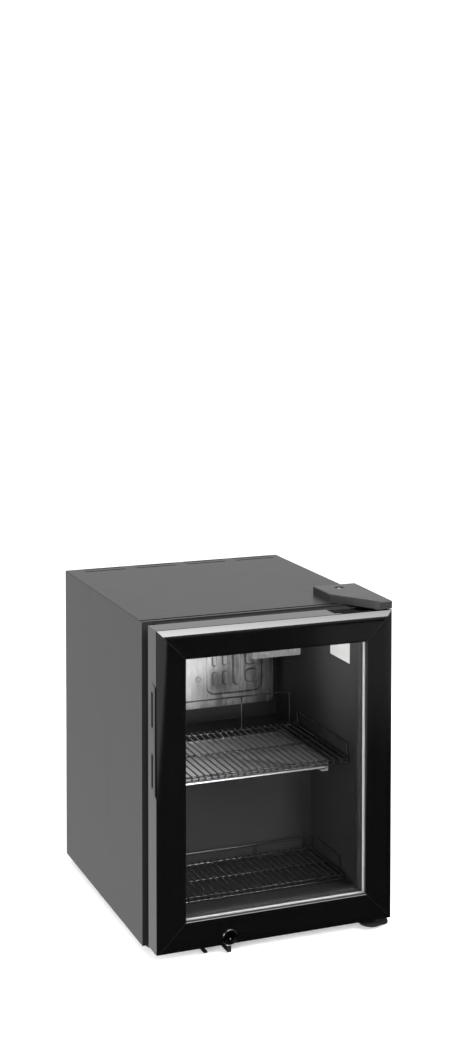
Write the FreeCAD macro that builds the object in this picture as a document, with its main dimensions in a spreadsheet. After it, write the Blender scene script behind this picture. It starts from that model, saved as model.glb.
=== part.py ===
"""Countertop beverage fridge with a hinged glass door, as one parametric document.

Millimetres. X is the viewer's right, -Y the front, +Z up. The origin is on the surface that the
feet stand on, below the middle of the object's box.
"""
import FreeCAD, Part
import Sketcher
import math
import os
from types import SimpleNamespace

# Driving sizes, in millimetres
SIZES = {
    # whole object
    "total_depth": 460,
    "foot_height": 12,
    # steel cabinet
    "cab_width": 380,
    "cab_depth": 400,
    "cab_height": 476,
    "steel": 0.8,
    "face_flange": 18,
    "rear_flange": 14,
    "fold_radius": 2,
    "screw_head": 2.2,
    "pan_wall": 20,
    # air slots in the top
    "slot_length": 70,
    "slot_width": 5,
    "slot_pitch": 89.3,
    "slot_first": -127.6,
    "slot_row_a": 375,
    "slot_row_b": 391.5,
    # inner liner, heights from the cabinet's underside, depths from its face
    "liner_wall": 2,
    "room_half": 160,
    "room_floor": 31,
    "room_ceiling": 440,
    "room_back": 326,
    "hump_front": 183,
    "hump_edge": 166,
    "hump_ledge": 218,
    "hump_run": 250,
    "foam_back": 356,
    "bay_front": 213,
    "bay_roof": 186,
    "breaker_depth": 14,
    # door
    "door_gap": 17,
    "door_thick": 40,
    "door_width": 372.6,
    "door_height": 468.3,
    "door_rise": 6,
    "member": 44,
    "rebate": 34.5,
    "member_wall": 2.5,
    "lip_thick": 3.6,
    "nose_radius": 26,
    "nose_run": 16,
    "nose_depth": 5,
    "seal_thick": 1,
    "pane_thick": 4,
    "pane_gap": 9,
    "spacer_inset": 46.2,
    "gasket_outer": 172,
    "gasket_width": 11,
    "gasket_clear": 0.6,
    # finger grip in the door's free edge
    "grip_low": 232,
    "grip_high": 391,
    "grip_depth": 10,
    "grip_front": -43,
    "grip_rear": -27,
    "grip_wall": 1.5,
    "recess_low": 231.6,
    "recess_high": 393,
    "recess_rear": -46.4,
    "recess_depth": 1.4,
    "notch_rear": -34.5,
    # hinge
    "hinge_x": 172,
    "hinge_y": -36,
    "pin_radius": 4,
    "pin_clearance": 0.05,
    "bush_radius": 7,
    "bush_length": 16,
    "hinge_plate": 3,
    "cap_height": 12,
    "cap_wall": 2,
    # lock
    "lock_x": -76,
    "lock_up": 19,
    "lock_proud": 3,
    "lock_face": 12,
    "barrel_radius": 9.5,
    "plug_radius": 6,
    "cam_front": -45,
    "cam_rear": -43,
    "cam_length": 24,
    "cam_half": 5,
    # wire shelves
    "wire": 1.3,
    "frame_wire": 1.6,
    "wire_pitch": 10.6,
    "wire_count": 30,
    "shelf_half": 157,
    "upper_level": 228,
    "upper_front": 33.5,
    "upper_rear": 238,
    "lower_level": 41,
    "lower_front": 46,
    "lower_rear": 177.5,
    "tray_half": 122,
    "tray_top": 218,
    "tray_height": 6,
    "tray_wall": 1,
    "tray_front": 37,
    "tray_rear": 231,
    "ledge_width": 10,
    # cooling
    "plate_left": -120,
    "plate_right": 150,
    "plate_low": 244.5,
    "plate_high": 428,
    "plate_thick": 1.2,
    "plate_depth": 316.5,
    "compressor_x": 50,
    "compressor_y": 302,
    "pot_radius": 62,
    "coil_depth": 372,
    "coil_radius": 2.5,
    "coil_reach": 138,
    "coil_ends": 154,
    "coil_low": 232,
    "coil_rise": 25,
    "drier_top": 198,
    "channel_rise": 1.5,
    # rear cover, thermostat and cord gland
    "vent_length": 84,
    "vent_width": 6,
    "knob_x": -110,
    "knob_up": 60,
    "gland_x": 120,
    "gland_up": 40,
    # lamp
    "lamp_left": -14,
    "lamp_right": 63,
    "lamp_low": 403,
    "lamp_joint": 424,
    "lamp_front": 6,
    "lamp_rear": 30,
    "lens_wall": 1.6,
    # feet
    "foot_radius": 17.5,
    "side_foot_x": 160,
    "rear_foot_depth": 370,
}

doc = FreeCAD.newDocument("beverage_fridge")
sheet = doc.addObject("Spreadsheet::Sheet", "Sizes")
for row, (alias, amount) in enumerate(SIZES.items(), start=1):
    sheet.set(f"A{row}", alias)
    sheet.set(f"B{row}", str(amount))
    sheet.setAlias(f"B{row}", alias)
doc.recompute()


def text_of(amount):
    """Give a size or a number as text for an expression."""
    return amount.text if isinstance(amount, Size) else f"({float(amount):.6f})"


class Size:
    """A length that knows its value and the sheet expression that gives it."""

    def __init__(self, value, text):
        self.value = value
        self.text = text

    def __float__(self):
        return self.value

    def __add__(self, other):
        return Size(self.value + float(other), f"({self.text} + {text_of(other)})")

    def __radd__(self, other):
        return self + other

    def __sub__(self, other):
        return Size(self.value - float(other), f"({self.text} - {text_of(other)})")

    def __rsub__(self, other):
        return Size(float(other) - self.value, f"({text_of(other)} - {self.text})")

    def __mul__(self, other):
        return Size(self.value * float(other), f"({self.text} * {text_of(other)})")

    def __rmul__(self, other):
        return self * other

    def __truediv__(self, other):
        return Size(self.value / float(other), f"({self.text} / {text_of(other)})")

    def __neg__(self):
        return self * -1


s = SimpleNamespace(**{name: Size(float(sheet.get(name)), f"Sizes.{name}") for name in SIZES})

# Planes that the pieces share
half = s.cab_width / 2
face = s.total_depth / 2 - s.cab_depth
wrap_end = s.cab_depth - s.steel - s.screw_head
door_half = s.door_width / 2
door_back = -s.door_gap
door_front = -s.door_gap - s.door_thick
door_low = s.door_rise
door_high = s.door_rise + s.door_height


def behind(distance):
    """Give the Y of a point this far behind the cabinet's face."""
    return face + distance


def above(distance):
    """Give the Z of a point this far above the cabinet's underside."""
    return s.foot_height + distance


def vec(x, y, z):
    """Make a vector from sizes or numbers."""
    return FreeCAD.Vector(float(x), float(y), float(z))


def bind(part, prop, amount):
    """Tie a property of a part to the sheet."""
    part.setExpression(prop, text_of(amount))


def place(part, x=0, y=0, z=0):
    """Tie the place of a part to the sheet."""
    bind(part, "Placement.Base.x", x)
    bind(part, "Placement.Base.y", y)
    bind(part, "Placement.Base.z", z)


nodes = {}


def node(name, part):
    """Name a finished piece."""
    part.Label = name
    nodes[name] = part
    return part


def block(name, x, y, z):
    """Make a box between two planes on each axis."""
    part = doc.addObject("Part::Box", name)
    for prop, (low, high) in (("Length", x), ("Width", y), ("Height", z)):
        bind(part, prop, high - low)
    place(part, x[0], y[0], z[0])
    return part


TURNS = {
    "up": FreeCAD.Rotation(),
    "front": FreeCAD.Rotation(FreeCAD.Vector(1, 0, 0), 90),
    "rear": FreeCAD.Rotation(FreeCAD.Vector(1, 0, 0), -90),
    "right": FreeCAD.Rotation(FreeCAD.Vector(0, 1, 0), 90),
}


def rod(name, radius, length, at, towards="up"):
    """Make a cylinder from a point towards a side."""
    part = doc.addObject("Part::Cylinder", name)
    bind(part, "Radius", radius)
    bind(part, "Height", length)
    part.Placement = FreeCAD.Placement(vec(*at), TURNS[towards])
    place(part, *at)
    return part


def sketch_loops(body, name, role, loops):
    """Draw closed loops of straight lines on one of a body's origin planes."""
    sketch = body.newObject("Sketcher::SketchObject", name)
    origin_plane = next(item for item in body.Origin.OriginFeatures if item.Role == role)
    sketch.AttachmentSupport = (origin_plane, [""])
    sketch.MapMode = "FlatFace"
    first = 0
    for points in loops:
        count = len(points)
        for index in range(count):
            start = points[index]
            end = points[(index + 1) % count]
            sketch.addGeometry(Part.LineSegment(vec(*start, 0), vec(*end, 0)), False)
        for index in range(count):
            after = first + (index + 1) % count
            sketch.addConstraint(Sketcher.Constraint("Coincident", first + index, 2, after, 1))
        for index, point in enumerate(points):
            for kind, amount in zip(("DistanceX", "DistanceY"), point):
                added = sketch.addConstraint(
                    Sketcher.Constraint(kind, -1, 1, first + index, 1, float(amount)))
                number = added if isinstance(added, int) else sketch.ConstraintCount - 1
                sketch.setExpression(f"Constraints[{number}]", text_of(amount))
        first += count
    return sketch


def prism(name, role, loops, length, at):
    """Pad straight-sided loops along the normal of an origin plane, and place the result.

    The normal is +Z for XY_Plane, -Y for XZ_Plane and +X for YZ_Plane.
    """
    body = doc.addObject("PartDesign::Body", name)
    sketch = sketch_loops(body, f"{name}_outline", role, loops)
    pad = body.newObject("PartDesign::Pad", f"{name}_pad")
    pad.Profile = sketch
    bind(pad, "Length", length)
    place(body, *at)
    return body


def turned(name, profile, at, towards="up"):
    """Turn a profile of (radius, height) points about the upright axis, and point it to a side."""
    body = doc.addObject("PartDesign::Body", name)
    sketch = sketch_loops(body, f"{name}_profile", "XZ_Plane", [profile])
    spin = body.newObject("PartDesign::Revolution", f"{name}_turn")
    spin.Profile = sketch
    spin.ReferenceAxis = (sketch, ["V_Axis"])
    spin.Angle = 360
    body.Placement = FreeCAD.Placement(vec(*at), TURNS[towards])
    place(body, *at)
    return body


def fuse(name, *parts):
    """Join parts into one solid."""
    part = doc.addObject("Part::MultiFuse", name)
    part.Shapes = list(parts)
    part.Refine = True
    return part


def cut(name, base, *tools):
    """Take tools away from a base."""
    part = doc.addObject("Part::Cut", name)
    part.Base = base
    part.Tool = tools[0] if len(tools) == 1 else fuse(f"{name}_tools", *tools)
    return part


def common(name, base, tool):
    """Keep what two parts share."""
    part = doc.addObject("Part::Common", name)
    part.Base = base
    part.Tool = tool
    return part


def rounded(name, base, *rounds):
    """Round the edges that pass each test, given as (test, radius) pairs."""
    doc.recompute()
    part = doc.addObject("Part::Fillet", name)
    part.Base = base
    found = []
    for test, radius in rounds:
        for number, edge in enumerate(base.Shape.Edges, start=1):
            if test(edge):
                found.append((number, float(radius), float(radius)))
    part.Edges = found
    return part


def shaped(name, shape):
    """Keep a shape that loops or formulas made as a piece of the document."""
    part = doc.addObject("Part::Feature", name)
    part.Shape = shape
    part.Placement = FreeCAD.Placement()
    return part


def near(amount, target):
    """Say whether two lengths are the same."""
    return abs(float(amount) - float(target)) < 0.01


def along_axis(edge, axis, **at):
    """Say whether a straight edge runs along an axis and lies at the given coordinates."""
    low = edge.BoundBox
    spans = {"x": low.XLength, "y": low.YLength, "z": low.ZLength}
    middle = {"x": low.Center.x, "y": low.Center.y, "z": low.Center.z}
    runs = spans[axis] > 1 and all(span < 0.01 for key, span in spans.items() if key != axis)
    return runs and all(near(middle[key], value) for key, value in at.items())


def slot_solid(centre, length, width, towards, depth):
    """Make a round-ended bar along X that runs through a sheet along Y or Z."""
    reach = float(length) / 2 - float(width) / 2
    radius = float(width) / 2
    side = FreeCAD.Vector(0, 1, 0) if towards == "z" else FreeCAD.Vector(0, 0, 1)
    right = FreeCAD.Vector(1, 0, 0)
    corners = [centre + right * (sx * reach) + side * (sy * radius)
               for sx, sy in ((-1, -1), (1, -1), (1, 1), (-1, 1))]
    ends = [centre + right * (sx * (reach + radius)) for sx in (1, -1)]
    outline = Part.Wire([
        Part.LineSegment(corners[0], corners[1]).toShape(),
        Part.Arc(corners[1], ends[0], corners[2]).toShape(),
        Part.LineSegment(corners[2], corners[3]).toShape(),
        Part.Arc(corners[3], ends[1], corners[0]).toShape(),
    ])
    way = FreeCAD.Vector(0, 0, depth) if towards == "z" else FreeCAD.Vector(0, depth, 0)
    return Part.Face(outline).extrude(way)


def bar(start, end, radius):
    """Make a straight round bar between two points."""
    return Part.makeCylinder(float(radius), (end - start).Length, start, end - start)


def bent_bar(points, radius):
    """Make the bars and corner beads of a round wire through points."""
    pieces = [bar(a, b, radius) for a, b in zip(points, points[1:])]
    pieces += [Part.makeSphere(float(radius), corner) for corner in points[1:-1]]
    return pieces


def bent_tube(points, radius, bend):
    """Sweep a round tube along straight runs joined by tangent arcs."""
    edges = []
    last = points[0]
    for before, corner, after in zip(points, points[1:], points[2:]):
        into = (before - corner).normalize()
        out = (after - corner).normalize()
        half_angle = into.getAngle(out) / 2
        trim = bend / math.tan(half_angle)
        bisector = (into + out).normalize()
        centre = corner + bisector * (bend / math.sin(half_angle))
        start = corner + into * trim
        end = corner + out * trim
        if (start - last).Length > 0.01:
            edges.append(Part.LineSegment(last, start).toShape())
        edges.append(Part.Arc(start, centre - bisector * bend, end).toShape())
        last = end
    edges.append(Part.LineSegment(last, points[-1]).toShape())
    path = Part.Wire(edges)
    ring = Part.Wire([Part.makeCircle(float(radius), points[0], points[1] - points[0])])
    return path.makePipeShell([ring], True, False)


def screw_set(name, places, way, head_radius, head_height, shank_radius, shank_length):
    """Make equal pan-head screws as one piece: each place is the middle of the head's seat."""
    screws = []
    for seat in places:
        rim = float(head_height) / 2
        head = Part.makeCylinder(head_radius, rim, seat, way)
        crown = Part.makeCone(head_radius, head_radius * 0.7, rim, seat + way * rim, way)
        shank = Part.makeCylinder(shank_radius, shank_length, seat, way * -1)
        screws.append(shank.multiFuse([head, crown]).removeSplitter())
    return node(name, shaped(name, Part.makeCompound(screws)))


def ring_frame(name, outer, inner, y):
    """Make a four-sided ring from half-widths and heights: outer and inner are (half, low, high)."""
    body = block(f"{name}_outer", (-outer[0], outer[0]), y, (above(outer[1]), above(outer[2])))
    hole = block(f"{name}_hole", (-inner[0], inner[0]), (y[0] - 1, y[1] + 1),
                 (above(inner[1]), above(inner[2])))
    return cut(name, body, hole)


REAR = vec(0, 1, 0)
FRONT = vec(0, -1, 0)
UP = vec(0, 0, 1)
DOWN = vec(0, 0, -1)


# Outer wrap: one sheet folded over both sides and the top, with flanges front and rear
wrap_blank = block("wrap_blank", (-half, half), (face, behind(wrap_end)), (above(0), above(s.cab_height)))
wrap_folded = rounded("wrap_folded", wrap_blank, (
    lambda edge: along_axis(edge, "y", z=above(s.cab_height)), s.fold_radius))
wrap_room = block("wrap_room", (-half + s.steel, half - s.steel),
                  (behind(s.steel), behind(wrap_end - s.steel)), (above(-1), above(s.cab_height - s.steel)))
wrap_hollow = rounded("wrap_hollow", wrap_room, (
    lambda edge: along_axis(edge, "y", z=above(s.cab_height - s.steel)), s.fold_radius - s.steel))
wrap_mouth = block("wrap_mouth", (-half + s.face_flange, half - s.face_flange),
                   (behind(-1), behind(2)), (above(-1), above(s.cab_height - s.face_flange)))
wrap_back = block("wrap_back", (-half + s.rear_flange, half - s.rear_flange),
                  (behind(wrap_end - 2), behind(wrap_end + 1)),
                  (above(-1), above(s.cab_height - s.rear_flange)))
air_slots = []
for depth in (s.slot_row_a, s.slot_row_b):
    for index in range(4):
        centre = vec(s.slot_first + s.slot_pitch * index, behind(depth), above(s.cab_height - 4))
        air_slots.append(slot_solid(centre, s.slot_length, s.slot_width, "z", 8))
wrap_slots = shaped("wrap_slots", Part.makeCompound(air_slots))
node("outer_wrap", cut("outer_wrap", wrap_folded, wrap_hollow, wrap_mouth, wrap_back, wrap_slots))

# Base pan: a shallow tray inside the wrap, with the steel strip that closes the face below the room
pan_half = half - s.steel
pan_blank = block("pan_blank", (-pan_half, pan_half), (behind(s.steel), behind(wrap_end - s.steel)),
                  (above(0), above(s.pan_wall)))
pan_hollow = block("pan_hollow", (-pan_half + 1, pan_half - 1),
                   (behind(s.steel + 1), behind(wrap_end - s.steel - 1)),
                   (above(1), above(s.pan_wall + 1)))
pan_tray = cut("pan_tray", pan_blank, pan_hollow)
pan_face = block("pan_face", (-half + s.face_flange, half - s.face_flange), (face, behind(s.steel + 1)),
                 (above(0), above(s.room_floor - 9)))
node("base_pan", fuse("base_pan", pan_tray, pan_face))

# Inner liner: a room with a stepped rear wall over the compressor
wall = s.liner_wall


def room_profile(front, grow):
    """Give the side view of the room as (Y, Z) points, grown by a wall thickness."""
    return [
        (behind(front), above(s.room_floor - grow)),
        (behind(s.hump_front + grow), above(s.room_floor - grow)),
        (behind(s.hump_front + grow), above(s.hump_edge - grow * 0.4)),
        (behind(s.hump_front + 21 + grow * 0.7), above(s.hump_edge + 26 - grow * 0.7)),
        (behind(s.hump_run + grow * 0.4), above(s.hump_ledge - grow)),
        (behind(s.room_back + grow), above(s.hump_ledge - grow)),
        (behind(s.room_back + grow), above(s.room_ceiling + grow)),
        (behind(front), above(s.room_ceiling + grow)),
    ]


liner_outside = prism("liner_outside", "YZ_Plane", [room_profile(2, wall)], (s.room_half + wall) * 2,
                      (-s.room_half - wall, 0, 0))
liner_inside = prism("liner_inside", "YZ_Plane", [room_profile(0, 0)], s.room_half * 2, (-s.room_half, 0, 0))
SUCTION_X = -60
SUCTION_UP = 288
suction_hole = rod("suction_hole", 4, 50, (SUCTION_X, behind(318), above(SUCTION_UP)), "rear")
node("liner", cut("liner", liner_outside, liner_inside, suction_hole))

# Breaker frame: the plastic ring between the liner's mouth and the steel face
breaker_outer = (half - s.face_flange, s.room_floor - 9, s.cab_height - s.face_flange)
breaker_plate = ring_frame("breaker_plate", breaker_outer, (s.room_half, s.room_floor, s.room_ceiling),
                           (face, behind(2)))
leg = s.room_half + wall
breaker_leg = ring_frame("breaker_leg", (leg + 2, s.room_floor - 4, s.room_ceiling + 4),
                         (leg, s.room_floor - 2, s.room_ceiling + 2), (behind(2), behind(s.breaker_depth)))
node("breaker_frame", fuse("breaker_frame", breaker_plate, breaker_leg))

# Steel back sheet: between the foam and the air duct, stepped forward over the compressor bay
bay_step = above(s.bay_roof - 38)
foam_top = above(s.cab_height - s.steel - 0.5)
sheet_points = [
    (behind(s.foam_back), foam_top),
    (behind(s.foam_back), above(s.bay_roof)),
    (behind(s.bay_front + 46), above(s.bay_roof)),
    (behind(s.bay_front), bay_step),
    (behind(s.bay_front), above(1)),
]
sheet_rear = [
    (behind(s.bay_front + s.steel), above(1)),
    (behind(s.bay_front + s.steel), bay_step - s.steel * 0.4),
    (behind(s.bay_front + 46 + s.steel * 0.4), above(s.bay_roof - s.steel)),
    (behind(s.foam_back + s.steel), above(s.bay_roof - s.steel)),
    (behind(s.foam_back + s.steel), foam_top),
]
inner_half = pan_half - 1
back_blank = prism("back_blank", "YZ_Plane", [sheet_points + sheet_rear], inner_half * 2,
                   (-inner_half, 0, 0))
node("back_sheet", cut("back_sheet", back_blank, suction_hole))

# Insulation foam: fills the space from the breaker to the back sheet, round the liner
foam_points = [(behind(s.breaker_depth), foam_top)] + sheet_points + [(behind(s.breaker_depth), above(1))]
foam_blank = prism("foam_blank", "YZ_Plane", [foam_points], inner_half * 2, (-inner_half, 0, 0))
node("insulation_foam", cut("insulation_foam", foam_blank, liner_outside, suction_hole))

# Rear cover: a slotted plate screwed onto the wrap's rear flange
cover_front = behind(wrap_end)
cover_rear = behind(wrap_end + s.steel)
cover_half = half - 4
cover_plate = block("cover_plate", (-cover_half, cover_half), (cover_front, cover_rear),
                    (above(3), above(s.cab_height - 4)))
cover_columns = (-112, 0, 112)
cover_slots = []
slot_fields = ((250, 24, 8, cover_columns), (112, 16, 6, cover_columns), (32, 16, 5, (0,)))
for first, pitch, rows, columns in slot_fields:
    for row in range(rows):
        for x in columns:
            centre = vec(x, cover_front - 2, above(first + pitch * row))
            cover_slots.append(slot_solid(centre, s.vent_length, s.vent_width, "y", 6))
cover_vents = shaped("cover_vents", Part.makeCompound(cover_slots))
knob_hole = rod("knob_hole", 18, 6, (s.knob_x, cover_front - 2, above(s.knob_up)), "rear")
gland_hole = rod("gland_hole", 8, 6, (s.gland_x, cover_front - 2, above(s.gland_up)), "rear")
node("rear_cover", cut("rear_cover", cover_plate, cover_vents, knob_hole, gland_hole))
cover_edge = float(cover_half) - 5
cover_seats = [vec(sx * cover_edge, cover_rear, above(level)) for sx in (-1, 1) for level in (12, 236, 464)]
screw_set("rear_cover_screws", cover_seats, REAR, 4, float(s.screw_head), 1.9, 6)

# Evaporator: a roll-bonded plate with raised channels, stood off the rear wall
plate_front = behind(s.plate_depth)


def rounded_plate(left, right, low, high, radius, front, thick):
    """Make an upright plate with rounded corners, thickened towards the rear."""
    start = vec(left, front, above(low))
    plate = Part.makeBox(float(right) - float(left), float(thick), float(high) - float(low), start)
    upright = [edge for edge in plate.Edges if along_axis(edge, "y")]
    return plate.makeFillet(float(radius), upright)


channel_front = float(plate_front - s.channel_rise)


def raised_pad(left, right, low, high, radius):
    """Make a raised area on the front of the evaporator."""
    return rounded_plate(left, right, low, high, radius, channel_front, s.channel_rise)


evaporator = rounded_plate(s.plate_left, s.plate_right, s.plate_low, s.plate_high, 9,
                           plate_front, s.plate_thick)
channels = []
for left in (-107, 29):
    ring = raised_pad(left, left + 100, 265, 418, 14)
    channels.append(ring.cut(rounded_plate(left + 5, left + 95, 270, 413, 10, channel_front - 1, 4)))
    channels.append(raised_pad(left + 48.5, left + 59.5, 273, 405, 5))
    for low in (300, 272):
        for middle in (15, 33.5):
            channels.append(raised_pad(left + middle - 3.2, left + middle + 3.2, low, low + 18, 3))
        channels.append(raised_pad(left + 71.5, left + 89.5, low - 2, low + 17, 6))
evaporator_shape = evaporator.multiFuse(channels).removeSplitter()
node("evaporator_plate", shaped("evaporator_plate", evaporator_shape))
plate_holes = ((15, 293.6), (15, 400), (-113, 350), (143, 350))
plate_seats = [vec(x, plate_front, above(level)) for x, level in plate_holes]
screw_set("evaporator_screws", plate_seats, FRONT, 4, 2, 1.9, float(s.room_back - s.plate_depth + wall))

# Lamp under the ceiling, just behind the door's top member
node("lamp_housing", block("lamp_housing", (s.lamp_left - 4, s.lamp_right + 4),
                           (behind(s.lamp_front - 2), behind(s.lamp_rear + 4)),
                           (above(s.lamp_joint), above(s.room_ceiling))))
lens_blank = block("lens_blank", (s.lamp_left, s.lamp_right), (behind(s.lamp_front), behind(s.lamp_rear)),
                   (above(s.lamp_low), above(s.lamp_joint)))
lens_hollow = block("lens_hollow", (s.lamp_left + s.lens_wall, s.lamp_right - s.lens_wall),
                    (behind(s.lamp_front + s.lens_wall), behind(s.lamp_rear - s.lens_wall)),
                    (above(s.lamp_low + s.lens_wall), above(s.lamp_joint + 1)))
node("lamp_lens", cut("lamp_lens", lens_blank, lens_hollow))

# Blank plate on the right inner wall
node("wall_plate", block("wall_plate", (s.room_half - 0.4, s.room_half), (behind(38), behind(108)),
                         (above(373), above(418))))


WELD = 0.2
FRONT_DROP = 4.5


def wire_shelf(name, level, front, rear, middle, fence, side_fence):
    """Make a welded wire shelf.

    Long wires lie on cross wires and bend down over the front; fence is the rear fence's height,
    and side_fence the height of the side fences with the depths of their ends.
    """
    top = float(above(level))
    under = top - float(s.wire) - float(s.frame_wire) + WELD
    low = under - FRONT_DROP
    y_front = float(behind(front))
    y_rear = float(behind(rear))
    y_fence = y_rear - 2
    y_rest = y_front + 6
    reach = float(s.shelf_half)
    count = int(float(s.wire_count))
    first = -float(s.wire_pitch) * (count - 1) / 2
    pieces = []
    for index in range(count):
        x = first + float(s.wire_pitch) * index
        pieces += bent_bar([vec(x, y_rear, top), vec(x, y_front, top), vec(x, y_front, low)], s.wire)
    for y in (y_fence, float(behind(middle)), y_rest):
        pieces.append(bar(vec(-reach, y, under), vec(reach, y, under), s.frame_wire))
    y_lip = y_front + 2.4
    pieces.append(bar(vec(first - 2, y_lip, low), vec(-first + 2, y_lip, low), s.frame_wire))
    height, side_front, side_rear = side_fence
    for x in (-reach, reach):
        pieces.append(bar(vec(x, y_fence, under), vec(x, y_rest, under), s.frame_wire))
        pieces += [Part.makeSphere(float(s.frame_wire), vec(x, y, under)) for y in (y_fence, y_rest)]
        raised = top + height
        corners = [(side_front, under), (side_front, raised), (side_rear, raised), (side_rear, under)]
        pieces += bent_bar([vec(x, behind(depth), z) for depth, z in corners], s.wire)
    corners = [(-145, under), (-145, top + fence), (145, top + fence), (145, under)]
    pieces += bent_bar([vec(x, y_fence, z) for x, z in corners], s.wire)
    for x in (-60, 60):
        pieces.append(bar(vec(x, y_fence, under), vec(x, y_fence, top + fence), s.wire))
    return node(name, shaped(name, pieces[0].multiFuse(pieces[1:])))


wire_shelf("upper_shelf", s.upper_level, s.upper_front, s.upper_rear, 135, 53, (20, 41, 230))
wire_shelf("lower_shelf", s.lower_level, s.lower_front, s.lower_rear, 112, 16, (20.5, 66, 172))

# Drip tray under the upper shelf, held by two hooked strips
tray_low = s.tray_top - s.tray_height
tray_blank = block("tray_blank", (-s.tray_half, s.tray_half), (behind(s.tray_front), behind(s.tray_rear)),
                   (above(tray_low), above(s.tray_top)))
tray_hollow = block("tray_hollow", (-s.tray_half + s.tray_wall, s.tray_half - s.tray_wall),
                    (behind(s.tray_front + s.tray_wall), behind(s.tray_rear - s.tray_wall)),
                    (above(tray_low + s.tray_wall), above(s.tray_top + 1)))
node("drip_tray", cut("drip_tray", tray_blank, tray_hollow))
frame_depth = s.wire + s.frame_wire * 2 - WELD
shelf_under = s.upper_level - frame_depth
hanger_y = (behind(s.tray_front + 2), behind(s.tray_rear - 7))
hanger_low = above(tray_low - 1.5)
hangers = []
for label, side in (("left", -1), ("right", 1)):
    near_x, far_x, lip_x = [side * (s.tray_half + offset) for offset in (0.8, 2, -9)]
    webs = (near_x, far_x) if side > 0 else (far_x, near_x)
    lips = (lip_x, far_x) if side > 0 else (far_x, lip_x)
    hangers.append(block(f"{label}_web", webs, hanger_y, (hanger_low, above(shelf_under + 0.3))))
    hangers.append(block(f"{label}_lip", lips, hanger_y, (hanger_low, above(tray_low - 0.3))))
node("tray_hangers", fuse("tray_hangers", *hangers))

# Ledges moulded to carry the shelves
ledge_inner = s.room_half - s.ledge_width
ledge_sides = {"left": (-s.room_half, -ledge_inner), "right": (ledge_inner, s.room_half)}
tiers = (("upper", 216, s.upper_level, 39, 236), ("lower", s.room_floor, s.lower_level, 52, 176))
ledges = []
for tier, low, level, front, rear in tiers:
    for side, ends in ledge_sides.items():
        ledges.append(block(f"{tier}_{side}_ledge", ends, (behind(front), behind(rear)),
                            (above(low), above(level - frame_depth - WELD))))
node("shelf_rails", fuse("shelf_rails", *ledges))


# Door: four mitred hollow members with a nose behind a narrow ledge and a thin lip over the glass
def member_loops(edge_at, swap):
    """Give a member's section: edge_at maps a distance in from the outer edge to a coordinate."""
    m = s.member
    w = s.member_wall
    outer = [(0, door_back), (0, door_front), (m, door_front), (m, door_front + s.lip_thick),
             (s.rebate, door_front + s.lip_thick), (s.rebate, door_back)]
    hollow = [(w, door_back - w), (w, door_front + 12), (13, door_front + w),
              (s.rebate - w, door_front + w), (s.rebate - w, door_back - w)]
    loops = []
    for points in (outer, hollow):
        pairs = [(edge_at(distance), behind(depth)) for distance, depth in points]
        loops.append([(depth, across) for across, depth in pairs] if swap else pairs)
    return loops


def mitre(name, points):
    """Make the trapezium that a member is cut to, seen from the front."""
    return prism(name, "XZ_Plane", [points], s.door_thick + 4, (0, behind(door_back + 2), 0))


def soft_lip(axis, across, inner_edge):
    """Give the rounded front edge of a member beside the glass."""
    front = behind(door_front)
    return (lambda edge: along_axis(edge, axis, y=front, **{across: inner_edge}), 2.5)


def nose_corner(name, axis, edge, side):
    """Make what the nose leaves out of a member's corner, the ledge behind it included.

    axis is the member's length, "x" or "z", edge its outer plane and side the way it faces.
    """
    front = behind(door_front)
    middle = edge - s.nose_run * side
    across = (middle, edge + 1) if side > 0 else (edge - 1, middle)
    depth = (front - 1, front + s.nose_depth)
    if axis == "z":
        length = s.door_height + 2
        start = above(door_low - 1)
        blank = block(f"{name}_blank", across, depth, (start, start + length))
        round_bar = rod(f"{name}_round", s.nose_radius, length, (middle, front + s.nose_radius, start))
    else:
        length = s.door_width + 2
        start = -door_half - 1
        blank = block(f"{name}_blank", (start, start + length), depth, across)
        round_at = (start, front + s.nose_radius, middle)
        round_bar = rod(f"{name}_round", s.nose_radius, length, round_at, "right")
    return cut(name, blank, round_bar)


hinge_bore_top = rod("hinge_bore_top", s.bush_radius, s.bush_length + 1,
                     (s.hinge_x, behind(s.hinge_y), above(door_high - s.bush_length)))
hinge_bore_low = rod("hinge_bore_low", s.bush_radius, s.bush_length + 1,
                     (s.hinge_x, behind(s.hinge_y), above(door_low - 1)))
grip_middle = (s.grip_front + s.grip_rear) / 2


def grip_hexagon(inset):
    """Give the grip's outline on the side of the door, pointed at both ends."""
    return [
        (behind(grip_middle), above(s.grip_low + inset)),
        (behind(s.grip_rear - inset), above(s.grip_low + 11)),
        (behind(s.grip_rear - inset), above(s.grip_high - 11)),
        (behind(grip_middle), above(s.grip_high - inset)),
        (behind(s.grip_front + inset), above(s.grip_high - 11)),
        (behind(s.grip_front + inset), above(s.grip_low + 11)),
    ]


grip_blank = prism("grip_blank", "YZ_Plane", [grip_hexagon(0)], s.grip_depth, (-door_half, 0, 0))
grip_hollow = prism("grip_hollow", "YZ_Plane", [grip_hexagon(s.grip_wall)], s.grip_depth - s.grip_wall,
                    (-door_half, 0, 0))
node("grip_insert", cut("grip_insert", grip_blank, grip_hollow))

# The shallow step beside the grip runs along the front corner, and its upper end goes on as a notch
flat_front = behind(door_front + s.nose_depth)
finger_recess = prism("finger_recess", "YZ_Plane", [[
    (flat_front, above(s.recess_low)),
    (behind(s.recess_rear), above(s.recess_low + 4)),
    (behind(s.recess_rear), above(s.recess_high - 1)),
    (behind(s.notch_rear), above(s.recess_high + 2.6)),
    (behind(s.notch_rear), above(s.recess_high + 3.8)),
    (flat_front, above(s.recess_high)),
]], s.recess_depth, (-door_half, 0, 0))

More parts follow.
